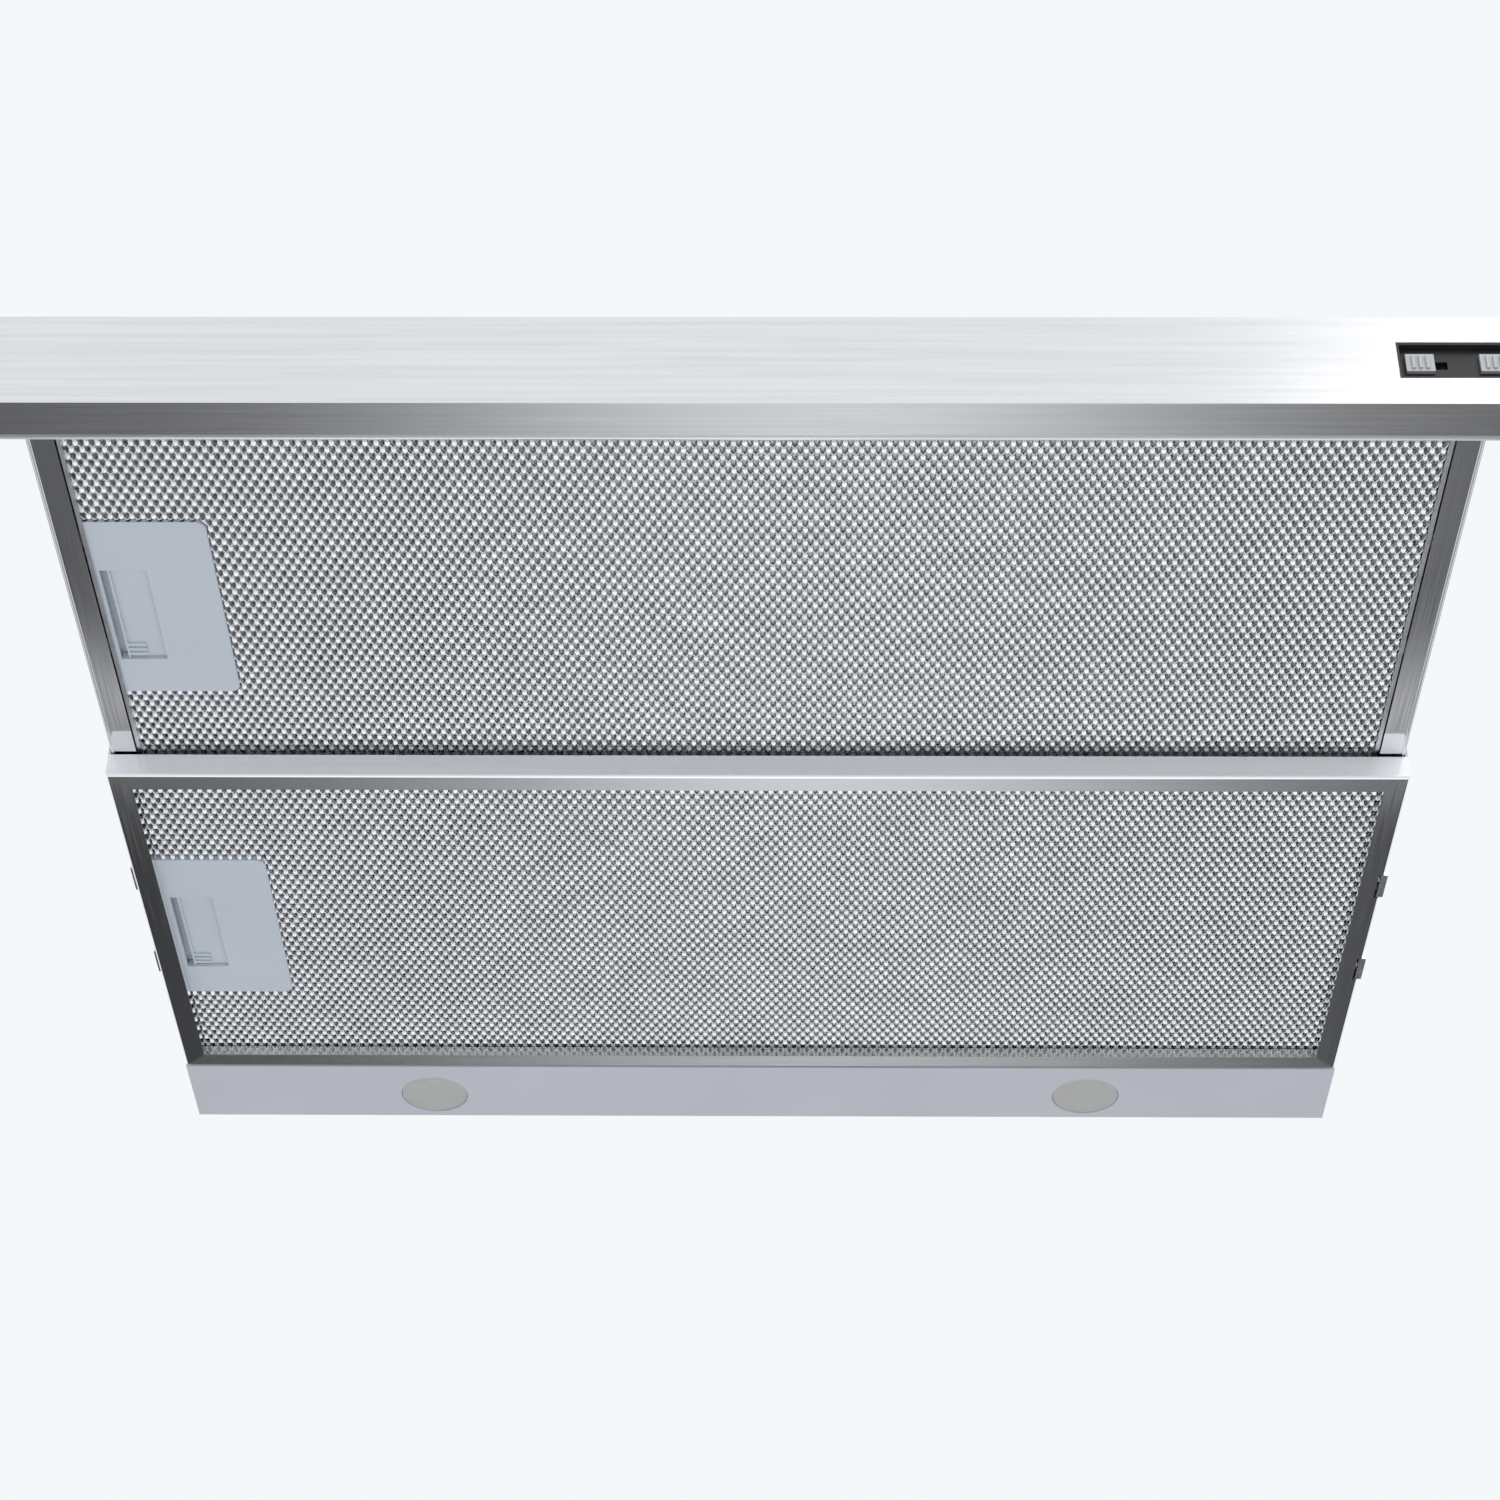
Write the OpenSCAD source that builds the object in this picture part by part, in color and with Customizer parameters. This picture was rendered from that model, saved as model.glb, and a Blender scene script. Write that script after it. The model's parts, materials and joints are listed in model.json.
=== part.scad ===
// Telescopic range hood for a 60 cm wide niche, shown with its screen pulled out.
// X runs from left to right, -Y is the front where the cook stands, and +Z is up.
// The origin is on the underside, halfway between the bar's front and the casing's back.

/* [Overall] */
// Width of the front bar
bar_w = 598; // [560:1:640]
// Width of the casing between the niche's sides
body_w = 523; // [500:1:540]
// Depth from the bar's front to the casing's back with the screen pushed in
closed_d = 290; // [286:1:310]
// How far the screen pulls out
screen_travel = 200; // [160:1:220]
// Height of the casing's top above the underside
casing_h = 203; // [200:1:260]
// Thickness of the folded sheet steel
sheet_t = 1; // [0.8:0.1:1.5]

/* [Front bar] */
// Height of the bar's front face
bar_h = 41; // [38:1:60]
// Depth of the brushed cover's underside
bar_cover_d = 16.5; // [14:0.5:20]
// Depth of the grey inner edge behind the cover
bar_lip_d = 3; // [2.5:0.5:5]
// Thickness of the brushed cover
bar_cover_t = 1; // [0.8:0.1:1.2]
// Thickness of the inner profile's walls
bar_core_t = 1.4; // [1:0.1:2]
// Thickness of an end cap
bar_cap_t = 1.5; // [1:0.1:3]
// Gap between the closed bar and the rear filter
bar_gap = 1; // [0.5:0.1:2]

/* [Rear filter] */
// Depth of the pale strip behind the rear filter, which holds the lamps
strip_d = 43.7; // [40:0.1:60]
// Gap between the rear filter and that strip
strip_gap = 0.8; // [0.5:0.1:1.5]
// Height of the rear filter's mitred frame
cassette_h = 10.5; // [10.5:0.1:12]
// Width of the frame's flat underside
frame_w = 9.5; // [8:0.1:12]
// Height of the frame's inner lip, below the mesh
frame_lip_h = 4.4; // [4:0.1:4.8]
// Thickness of the frame's walls
frame_t = 1.3; // [1:0.1:1.5]
// Width of the flange that is crimped over the mesh
frame_crimp_w = 4.5; // [3:0.1:6]
// Radius of the frame's outer lower edge
frame_edge_r = 1.2; // [0.8:0.1:1.3]

/* [Screen] */
// Gap between the rear filter and the screen that slides over it
screen_gap = 0.8; // [0.5:0.1:1.5]
// Height of the screen's side rails
rail_h = 17.2; // [17:0.1:20]
// Width of a side rail's underside
rail_w = 10; // [9.5:0.1:10.5]
// Thickness of the rail's walls
rail_t = 1.2; // [1:0.1:1.3]
// Width of the bright round bead along a rail's outer edge
rail_bead_w = 1.6; // [1.2:0.1:2]
// Height of the rail's outer edge above that bead
rail_bead_h = 2; // [1.5:0.1:2.2]
// How far the bead stands proud of the rail's underside
rail_bead_drop = 0.3; // [0.1:0.05:0.4]
// How far the screen stays under the casing when it is pulled out
screen_overlap = 20; // [15:1:30]
// Thickness of the screen's top cover
screen_cover_t = 0.8; // [0.6:0.1:1.2]

/* [Filter mesh and front filter] */
// Thickness of the layered mesh
mesh_t = 5.1; // [4:0.1:5.2]
// Height of the front filter's thin frame
front_frame_h = 7.5; // [7:0.1:8.5]
// Thickness of the front filter's frame
front_frame_t = 0.8; // [0.6:0.1:1]
// Width of its visible lower edge
front_lip_w = 1.6; // [1.2:0.1:2]
// Height of the screen rail's inner edge below the front filter
front_filter_rise = 1; // [0.8:0.1:1.2]
// Pitch of the diamond openings from side to side, drawn eight times too coarse
mesh_pitch_x = 32; // [30:0.1:40]
// Distance between two rows of openings
mesh_pitch_y = 12.4; // [12:0.1:16]
// Width of the metal strand between two openings
mesh_web = 4.4; // [3:0.1:6]

/* [Filter latch] */
// Width of a latch plate
latch_w = 45.5; // [42:0.5:55]
// Length of a latch plate from front to back
latch_l = 102.5; // [100:0.5:120]
// Corner radius of a latch plate
latch_r = 4; // [2:0.5:8]
// Thickness of a latch plate's skin and walls
latch_t = 1.2; // [1:0.1:1.3]
// Height of a latch plate
latch_h = 4.6; // [4.4:0.1:4.8]
// Width of the finger pocket
pocket_w = 18; // [17:0.5:24]
// Length of the finger pocket
pocket_l = 54; // [50:1:58]
// Distance from the plate's front edge to the pocket
pocket_front = 28; // [26:0.5:30]
// Distance from the plate's inner edge to the pocket
pocket_side = 1.8; // [1:0.1:2]
// Travel of the latch slide
latch_travel = 5; // [3:0.1:5]
// Width of the open slot that a fingertip reaches into
slot_w = 2.9; // [2.5:0.1:3.5]
// Thickness of the grip that the fingertip pulls on
grip_w = 0.8; // [0.8:0.1:1.2]
// Width of the square pad of ribs beside the grip
pad_w = 7; // [5:0.1:7]
// Length of a bolt along the filter's edge
bolt_l = 8; // [6:0.5:10]
// Distance from the plate's front edge to the first bolt
bolt_front = 11; // [11:0.5:16]
// Distance between the two bolts
bolt_pitch = 64; // [60:1:69]
// Length of a clip on the casing's side
clip_l = 16; // [14:0.5:20]
// Thickness of a clip
clip_t = 1; // [0.8:0.1:1.2]
// Height of a clip above the casing's lower edge
clip_rise = 14; // [10:0.5:18]
// Distance from the rear filter's front to its latch plate
rear_latch_y = 66.5; // [50:0.5:80]
// Distance from the bar to the front filter's latch plate
front_latch_y = 60; // [40:1:80]
// Coils of a latch spring
spring_turns = 8; // [5:1:10]
// Radius of a latch spring's coils
spring_r = 1.1; // [0.9:0.05:1.2]
// Thickness of the spring wire
spring_wire = 0.5; // [0.4:0.05:0.6]

/* [Ball runners] */
// Distance from a fixed outer runner's end to the casing's back
runner_back = 16.5; // [5:0.5:25]
// Height of an outer runner
runner_h = 15; // [14.8:0.1:15.2]
// Depth of an outer runner
runner_d = 7.6; // [7.3:0.1:7.9]
// Thickness of the runner steel
runner_t = 1.2; // [1:0.1:1.3]
// Length of a sliding inner runner
inner_runner_l = 255; // [250:1:262]
// Diameter of the balls
ball_d = 3; // [2.8:0.1:3.1]
// Clearance above and below a ball
ball_gap = 0.35; // [0.3:0.05:0.4]
// Balls in one row of a cage
ball_count = 6; // [4:1:6]
// Length of a ball cage
cage_l = 50; // [44:1:54]

/* [Fan] */
// Outer diameter of the fan wheel
wheel_d = 156; // [140:1:160]
// Height of the fan wheel
wheel_h = 62; // [50:1:66]
// Number of blades on the fan wheel
blade_count = 32; // [20:1:40]
// Depth of a blade from the rim inward
blade_d = 15; // [12:1:20]
// Wall of the fan housing
scroll_t = 2; // [1.5:0.1:3]
// Inner height of the fan housing
scroll_h = 74; // [70:1:78]
// Gap between the wheel and the tongue of its housing
tongue_gap = 6; // [4:0.5:10]
// Diameter of the motor can
motor_d = 92; // [80:1:100]
// Height of the motor can
motor_h = 40; // [35:1:45]
// Radius of the motor shaft
shaft_r = 4; // [3:0.5:5]
// Radial running clearance of the shaft in its bearings
shaft_gap = 0.05; // [0.02:0.01:0.08]
// Height of the deck that carries the fan
deck_z = 46; // [45:1:50]

/* [Outlet] */
// Outside diameter of the outlet collar, for a duct of 120 mm
collar_d = 119.6; // [100:0.1:125]
// Height of the collar above the casing
collar_h = 35; // [32:1:50]
// Wall of the collar
collar_t = 2; // [1.5:0.1:3]
// Width of the collar's foot
collar_foot_w = 10; // [8:0.5:15]
// Thickness of a backdraught flap
flap_t = 1; // [0.8:0.1:1.5]
// Radius of a flap's pin
flap_pin_r = 1.5; // [1:0.1:2]
// Distance between the two flap pins
flap_pin_pitch = 7; // [6:0.1:10]
// Height of the flap pins above the casing
flap_z = 14; // [12:0.5:18]

/* [Electrics] */
// Width of the control box
box_w = 92; // [80:1:100]
// Depth of the control box
box_d = 84; // [70:1:100]
// Height of the control box
box_h = 44; // [35:1:60]
// Distance from the control box to the casing's right side
box_side = 30; // [25:1:40]
// Distance from the control box to the casing's front
box_front = 40; // [20:1:60]
// Radius of the motor's capacitor
capacitor_r = 15; // [12:0.5:20]
// Height of the capacitor
capacitor_h = 56; // [45:1:80]
// Gap between the control box and the capacitor
capacitor_gap = 21; // [8:1:30]

/* [Lamps, switches and fixings] */
// Radius of a lamp's lens
lens_r = 15; // [12:0.5:16]
// Distance between the two lamps
lamp_pitch = 300; // [200:1:400]
// Height of the switch panel
switch_h = 17; // [14:0.5:20]
// Width of a slide switch's knob
knob_w = 10; // [8:0.5:12]
// Travel of the light switch
light_travel = 8; // [5:0.5:10]
// Travel of the fan speed switch, three steps of 6 mm
speed_travel = 18; // [12:0.5:24]
// Distance from the bar's end to the switch panel
switch_inset = 14; // [10:1:40]
// Radius of the holes for the mounting screws
fix_hole_r = 2.25; // [2:0.05:3]
// Distance between the two mounting screws on a side
fix_pitch = 160; // [120:1:180]
// Radius of the cable's way through its gland
gland_bore_r = 4.2; // [3:0.1:5]

/* [Hidden] */

$fn = 64;

// Clearances shared by the fits
seat_gap = 0.3;
slide_gap = 0.4;
run_gap = 0.5;
screw_gap = 0.1;

// Colours, as the photograph shows them
paint = [0.72, 0.73, 0.77];
zinc = [0.66, 0.68, 0.70];
steel = [0.50, 0.50, 0.53];
bright = [0.80, 0.82, 0.86];
alu = [0.62, 0.64, 0.67];
mesh_grey = [0.60, 0.62, 0.64];
latch_grey = [0.70, 0.73, 0.76];
black = [0.12, 0.12, 0.13];

// Main planes, front to back
total_d = closed_d + screen_travel;
front_y = -total_d / 2;
rear_y = total_d / 2;
bar_back = front_y + bar_cover_d + bar_lip_d;
cassette_y0 = rear_y - closed_d + bar_cover_d + bar_lip_d + bar_gap;
cassette_y1 = rear_y - strip_d - strip_gap;
cassette_d = cassette_y1 - cassette_y0;
casing_y0 = cassette_y0 + sheet_t;
screen_y1 = cassette_y0 + screen_overlap;

// Main planes, left to right
half_w = body_w / 2;
wall_in = half_w - sheet_t;
cassette_x = half_w - seat_gap;
rail_out = wall_in - 0.6;
rail_in = rail_out - rail_w;
front_x = rail_in - slide_gap;

// Main planes, bottom to top
casing_z0 = cassette_h + seat_gap;
screen_z0 = cassette_h + screen_gap;
screen_z1 = screen_z0 + rail_h;
cover_z1 = screen_z1 + screen_cover_t;
front_wall_z0 = cover_z1 + 4.7;
runner_z0 = screen_z0 + rail_bead_h + 0.7;
runner_mid = runner_z0 + runner_h / 2;
bracket_z0 = runner_z0 + runner_h + 1.5;
top_z0 = casing_h - sheet_t;
deck_top = deck_z + sheet_t;

// A box between two corners, given as three spans
module block(x, y, z) {
    translate([x[0], y[0], z[0]]) cube([x[1] - x[0], y[1] - y[0], z[1] - z[0]]);
}

// A flat rectangle between two spans
module rect(a, b) {
    translate([a[0], b[0]]) square([a[1] - a[0], b[1] - b[0]]);
}

// A section drawn in Y and Z, run from x0 to x1
module along_x(x0, x1) {
    translate([x0, 0, 0]) rotate([90, 0, 90]) linear_extrude(x1 - x0) children();
}

// A section drawn in X and Z, run from y0 to y1
module along_y(y0, y1) {
    translate([0, y1, 0]) rotate([90, 0, 0]) linear_extrude(y1 - y0) children();
}

module on_left() {
    mirror([1, 0, 0]) children();
}

// Casing: five sheets of folded steel, screwed together at their flanges
casing_flange_w = 12;
bracket_t = 2;
fix_z = (bracket_z0 + deck_z - bracket_t) / 2;
fix_mid_y = (casing_y0 + rear_y) / 2;
fix_ys = [fix_mid_y - fix_pitch / 2, fix_mid_y + fix_pitch / 2];

module fix_holes(x0, x1) {
    for (y = fix_ys)
        translate([x0, y, fix_z]) rotate([0, 90, 0]) cylinder(h = x1 - x0, r = fix_hole_r);
}

screw_r = 1.5;
screw_head_r = 3.2;
screw_head_h = 1.8;
screw_xs = [-(half_w - casing_flange_w / 2 - sheet_t), half_w - casing_flange_w / 2 - sheet_t];
screw_ys = [casing_y0 + 25, fix_mid_y, rear_y - 25];

module screw_holes(z0, z1) {
    for (x = screw_xs, y = screw_ys)
        translate([x, y, z0]) cylinder(h = z1 - z0, r = screw_r + screw_gap, $fn = 24);
}

module casing_side() {
    color(paint) difference() {
        union() {
            block([wall_in, half_w], [casing_y0, rear_y], [casing_z0, top_z0]);
            block([wall_in - casing_flange_w, wall_in], [casing_y0 + sheet_t, rear_y - sheet_t],
                [top_z0 - sheet_t, top_z0]);
            block([wall_in - casing_flange_w, wall_in],
                [casing_y0 + sheet_t, casing_y0 + 2 * sheet_t],
                [front_wall_z0, top_z0 - sheet_t]);
            block([wall_in - casing_flange_w, wall_in], [rear_y - 2 * sheet_t, rear_y - sheet_t],
                [deck_top, top_z0 - sheet_t]);
        }
        fix_holes(wall_in - 1, half_w + 1);
        screw_holes(top_z0 - sheet_t - 1, top_z0 + 1);
    }
}

module casing_right() {
    casing_side();
}

module casing_left() {
    on_left() casing_side();
}

module casing_back() {
    color(paint) {
        block([-wall_in, wall_in], [rear_y - sheet_t, rear_y], [casing_z0, top_z0]);
        block([-wall_in, wall_in], [rear_y - sheet_t - casing_flange_w, rear_y - sheet_t],
            [casing_z0, casing_z0 + sheet_t]);
    }
}

module casing_front() {
    color(paint) {
        block([-wall_in, wall_in], [casing_y0, casing_y0 + sheet_t], [front_wall_z0, top_z0]);
        block([-wall_in, wall_in], [casing_y0 + sheet_t, casing_y0 + 2 * sheet_t],
            [front_wall_z0 - sheet_t, front_wall_z0 - sheet_t / 2]);
        block([-wall_in, wall_in], [casing_y0, casing_y0 + sheet_t],
            [front_wall_z0 - sheet_t, front_wall_z0]);
    }
}

// Outlet and fan places, from the fan housing's own size
duct_in_r = collar_d / 2 - collar_t;
chamber = 2 * duct_in_r + 12;
wheel_r = wheel_d / 2;
scroll_r0 = wheel_r + tongue_gap;
scroll_r1 = chamber;
scroll_growth = scroll_r1 - scroll_r0;
wall_clear = 3;
fan_x = -wall_in + wall_clear + scroll_t + scroll_r0 + scroll_growth * 2 / 3;
fan_y = rear_y - sheet_t - wall_clear - 2 * scroll_t - scroll_r1;
chamber_x0 = fan_x + scroll_r0;
chamber_x1 = chamber_x0 + chamber;
outlet_x = chamber_x1 - chamber / 2;
outlet_y = fan_y + scroll_r1 - chamber / 2;
gland_x = half_w - 60;
gland_y = rear_y - 45;
gland_stem_r = gland_bore_r + 3.6;

module casing_top() {
    color(paint) difference() {
        block([-half_w, half_w], [casing_y0, rear_y], [top_z0, casing_h]);
        translate([outlet_x, outlet_y, top_z0 - 1]) cylinder(h = sheet_t + 2, r = duct_in_r);
        translate([gland_x, gland_y, top_z0 - 1])
            cylinder(h = sheet_t + 2, r = gland_stem_r + screw_gap);
        screw_holes(top_z0 - 1, casing_h + 1);
    }
}

module casing_screws() {
    color(steel) for (x = screw_xs, y = screw_ys) {
        translate([x, y, top_z0 - sheet_t]) cylinder(h = 2 * sheet_t, r = screw_r, $fn = 24);
        translate([x, y, casing_h]) difference() {
            cylinder(h = screw_head_h, r = screw_head_r, $fn = 24);
            for (turn = [0, 90])
                translate([0, 0, screw_head_h]) rotate([0, 0, turn])
                    cube([3.6, 0.8, 1.6], center = true);
        }
    }
}

// Deck: the sheet that carries the fan and parts clean air from the filters' side
inlet_r = wheel_r - blade_d - 6;
module fan_deck() {
    color(zinc) difference() {
        block([-wall_in, wall_in], [casing_y0 + 2 * sheet_t, rear_y - 2 * sheet_t],
            [deck_z, deck_top]);
        translate([fan_x, fan_y, deck_z - 1]) cylinder(h = sheet_t + 2, r = inlet_r + scroll_t);
    }
}

// Side bracket: a stiff angle under the deck, with the holes for the mounting screws
module side_bracket() {
    bracket_w = 14;
    bracket_y = [casing_y0 + 3 * sheet_t, rear_y - 3 * sheet_t];
    color(zinc) difference() {
        union() {
            block([wall_in - bracket_t, wall_in], bracket_y, [bracket_z0, deck_z]);
            block([wall_in - bracket_w, wall_in], bracket_y, [deck_z - bracket_t, deck_z]);
        }
        fix_holes(wall_in - bracket_t - 1, wall_in + 1);
    }
}

module side_bracket_right() {
    side_bracket();
}

module side_bracket_left() {
    on_left() side_bracket();
}

// Rear panel with two lamps, seen as the pale strip behind the rear filter
panel_y0 = rear_y - strip_d;
panel_t = 1.2;
lamp_r = lens_r + 2.5;
lamp_y = rear_y - panel_t - lamp_r - seat_gap;
module rear_light_panel() {
    color(paint) difference() {
        block([-half_w, half_w], [panel_y0, rear_y], [0, cassette_h]);
        block([-half_w + panel_t, half_w - panel_t], [panel_y0 + panel_t, rear_y - panel_t],
            [panel_t, cassette_h + 1]);
        for (x = [-lamp_pitch / 2, lamp_pitch / 2])
            translate([x, lamp_y, -1]) cylinder(h = panel_t + 2, r = lens_r + seat_gap);
    }
}

lens_t = 2.4;
module lens_at(x) {
    color([0.93, 0.94, 0.92]) translate([x, lamp_y, seat_gap]) {
        cylinder(h = panel_t - seat_gap, r = lens_r);
        translate([0, 0, panel_t - seat_gap])
            cylinder(h = lens_t - panel_t + seat_gap, r = lens_r + 1);
    }
}

module lamp_at(x) {
    color(bright) translate([x, lamp_y, 0]) difference() {
        translate([0, 0, panel_t]) cylinder(h = cassette_h - panel_t - 1, r = lamp_r);
        translate([0, 0, panel_t - 1]) cylinder(h = lens_t + 1, r = lens_r + 1 + seat_gap);
        translate([0, 0, panel_t + lens_t - 1])
            cylinder(h = cassette_h - panel_t - lens_t - 1.6, r = lens_r - 4);
    }
}

module lens_left() {
    lens_at(-lamp_pitch / 2);
}

module lens_right() {
    lens_at(lamp_pitch / 2);
}

module lamp_left() {
    lamp_at(-lamp_pitch / 2);
}

module lamp_right() {
    lamp_at(lamp_pitch / 2);
}

// Ball runners: an outer channel on the casing, a cage of balls and an inner rail
runner_in = wall_in - runner_d;
runner_y0 = casing_y0 + 2 * sheet_t;
race_z = runner_h / 2 - runner_t;
arm_z = race_z - ball_d - 2 * ball_gap;
arm_out = wall_in - runner_t - 1.7;
cage_t = 0.5;
pocket_gap = 0.1;
cage_y0 = runner_y0 + 3;
ball_x = (runner_in + arm_out) / 2 + 0.6;
ball_z = race_z - ball_gap - ball_d / 2;

module runner_outer() {
    color(zinc) along_y(runner_y0, rear_y - runner_back) {
        rect([wall_in - runner_t, wall_in], [runner_z0, runner_z0 + runner_h]);
        rect([runner_in, wall_in], [runner_z0, runner_z0 + runner_t]);
        rect([runner_in, wall_in],
            [runner_z0 + runner_h - runner_t, runner_z0 + runner_h]);
    }
}

module runner_inner() {
    foot_out = rail_in + 2 * rail_t;
    color(zinc) along_y(bar_back, bar_back + inner_runner_l) {
        for (s = [-1, 1]) {
            arm = s > 0 ? [arm_z - runner_t, arm_z] : [-arm_z, -arm_z + runner_t];
            foot = s > 0 ? [arm_z - runner_t, arm_z + 3] : [-arm_z - 1.3, -arm_z + runner_t];
            rect([rail_in + rail_t, arm_out], [runner_mid + arm[0], runner_mid + arm[1]]);
            rect([rail_in + rail_t, foot_out], [runner_mid + foot[0], runner_mid + foot[1]]);
        }
        rect([arm_out - runner_t, arm_out], [runner_mid - arm_z, runner_mid + arm_z]);
    }
}

// The balls are loose in round pockets of the cage's two shelves
module ball_places() {
    ball_pitch = (cage_l - 8) / (ball_count - 1);
    for (s = [-1, 1], i = [0 : ball_count - 1])
        translate([ball_x, cage_y0 + 4 + i * ball_pitch, runner_mid + s * ball_z]) children();
}

module runner_cage() {
    cage_x = arm_out + 0.6;
    shelf_in = ball_x - ball_d / 2 - 0.7;
    color(steel) {
        difference() {
            along_y(cage_y0, cage_y0 + cage_l) {
                rect([cage_x, cage_x + cage_t], [runner_mid - ball_z, runner_mid + ball_z]);
                for (s = [-1, 1])
                    rect([shelf_in, cage_x + cage_t],
                        [runner_mid + s * ball_z - cage_t / 2, runner_mid + s * ball_z + cage_t / 2]);
            }
            ball_places() cylinder(h = 2 * cage_t, d = ball_d + 2 * pocket_gap, center = true, $fn = 32);
        }
        ball_places() sphere(d = ball_d, $fn = 32);
    }
}

module runner_outer_right() {
    runner_outer();
}

module runner_outer_left() {
    on_left() runner_outer();
}

module runner_inner_right() {
    runner_inner();
}

module runner_inner_left() {
    on_left() runner_inner();
}

module runner_cage_right() {
    runner_cage();
}

module runner_cage_left() {
    on_left() runner_cage();
}

// Fan housing: a spiral that widens clockwise from its tongue to the outlet chamber
scroll_z0 = deck_top;
scroll_z1 = scroll_z0 + scroll_h + 2 * scroll_t;
scroll_mid = (scroll_z0 + scroll_z1) / 2;
spiral_step = 15;
spiral_end = 270;

function scroll_outline(grow) = concat(
    [[fan_x + scroll_r0 + grow, fan_y - grow]],
    [for (a = [spiral_step : spiral_step : spiral_end])
        let (r = scroll_r0 + scroll_growth * a / spiral_end + grow)
        [fan_x + r * cos(a), fan_y - r * sin(a)]],
    [[chamber_x1 + grow, fan_y + scroll_r1 + grow], [chamber_x1 + grow, fan_y - grow]]
);

module scroll_wall(z0, z1) {
    translate([0, 0, z0]) linear_extrude(z1 - z0) difference() {
        polygon(scroll_outline(scroll_t));
        polygon(scroll_outline(0));
    }
}

module scroll_lower() {
    lip_h = 3;
    color(black) {
        scroll_wall(scroll_z0 + scroll_t, scroll_mid);
        translate([0, 0, scroll_z0]) difference() {
            linear_extrude(scroll_t) polygon(scroll_outline(scroll_t));
            translate([fan_x, fan_y, -1]) cylinder(h = scroll_t + 2, r = inlet_r);
        }
        translate([fan_x, fan_y, scroll_z0]) difference() {
            cylinder(h = scroll_t + lip_h, r = inlet_r + scroll_t);
            translate([0, 0, -1]) cylinder(h = scroll_t + lip_h + 2, r = inlet_r);
        }
    }
}

module scroll_upper() {
    color(black) {
        scroll_wall(scroll_mid, scroll_z1 - scroll_t);
        translate([0, 0, scroll_z1 - scroll_t]) difference() {
            linear_extrude(scroll_t) polygon(scroll_outline(scroll_t));
            translate([fan_x, fan_y, -1]) cylinder(h = scroll_t + 2, r = shaft_r + 8);
            translate([outlet_x, outlet_y, -1]) cylinder(h = scroll_t + 2, r = duct_in_r);
        }
    }
}

// Riser from the fan housing to the casing's top
module outlet_duct() {
    riser_z = [scroll_z1, top_z0];
    out = chamber / 2 + scroll_t;
    in = chamber / 2;
    color(black) difference() {
        block([outlet_x - out, outlet_x + out], [outlet_y - out, outlet_y + out], riser_z);
        block([outlet_x - in, outlet_x + in], [outlet_y - in, outlet_y + in],
            [riser_z[0] - 1, riser_z[1] + 1]);
    }
}

// Outlet collar with a ledge for the flaps and holes for their pins
ledge_w = 3;
flap_pin_z = casing_h + flap_z;
flap_pin_y = [outlet_y - flap_pin_pitch / 2, outlet_y + flap_pin_pitch / 2];
module outlet_collar() {
    ledge_h = 1.5;
    ledge_z = flap_z - flap_pin_r - seat_gap - ledge_h;
    spine_w = flap_pin_pitch - 2 * flap_pin_r - 2 * seat_gap;
    color(black) difference() {
        translate([outlet_x, outlet_y, casing_h]) {
            difference() {
                union() {
                    cylinder(h = collar_h, d = collar_d, $fn = 96);
                    cylinder(h = 2, d = collar_d + 2 * collar_foot_w, $fn = 96);
                }
                translate([0, 0, -1]) cylinder(h = collar_h + 2, r = duct_in_r, $fn = 96);
            }
            translate([0, 0, ledge_z]) difference() {
                cylinder(h = ledge_h, r = duct_in_r + 0.5, $fn = 96);
                translate([0, 0, -1]) cylinder(h = ledge_h + 2, r = duct_in_r - ledge_w, $fn = 96);
            }
            translate([-duct_in_r, -spine_w / 2, ledge_z])
                cube([2 * duct_in_r, spine_w, ledge_h]);
        }
        for (y = flap_pin_y)
            translate([outlet_x - collar_d, y, flap_pin_z]) rotate([0, 90, 0])
                cylinder(h = 2 * collar_d, r = flap_pin_r + shaft_gap, $fn = 32);
    }
}

// A flap is half a disc on a pin that turns in the collar's wall
module flap(front) {
    y = front ? flap_pin_y[0] : flap_pin_y[1];
    pin_half = collar_d / 2 - seat_gap;
    color(black) {
        translate([outlet_x - pin_half, y, flap_pin_z]) rotate([0, 90, 0])
            cylinder(h = 2 * pin_half, r = flap_pin_r, $fn = 32);
        intersection() {
            translate([outlet_x, outlet_y, flap_pin_z - flap_t / 2])
                cylinder(h = flap_t, r = duct_in_r - 1, $fn = 96);
            block([outlet_x - collar_d, outlet_x + collar_d],
                front ? [y - collar_d, y] : [y, y + collar_d],
                [flap_pin_z - flap_t, flap_pin_z + flap_t]);
        }
    }
}

module flap_front() {
    flap(true);
}

module flap_rear() {
    flap(false);
}

// Motor above the fan housing, on a plate with three posts
motor_bracket_t = 1.5;
post_h = 6;
post_r = 4;
bracket_top = scroll_z1 + post_h + motor_bracket_t;
module motor_bracket() {
    post_at = motor_d / 2 + 12;
    color(zinc) translate([fan_x, fan_y, 0]) {
        for (turn = [0, 120, 240]) rotate([0, 0, turn])
            translate([post_at, 0, scroll_z1]) cylinder(h = post_h + 0.01, r = post_r, $fn = 32);
        translate([0, 0, scroll_z1 + post_h]) difference() {
            union() {
                cylinder(h = motor_bracket_t, r = motor_d / 2 + 2);
                for (turn = [0, 120, 240]) rotate([0, 0, turn]) {
                    translate([0, -8, 0]) cube([post_at, 16, motor_bracket_t]);
                    translate([post_at, 0, 0]) cylinder(h = motor_bracket_t, r = 8);
                }
            }
            translate([0, 0, -1]) cylinder(h = motor_bracket_t + 2, r = shaft_r + 3);
        }
    }
}

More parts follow.
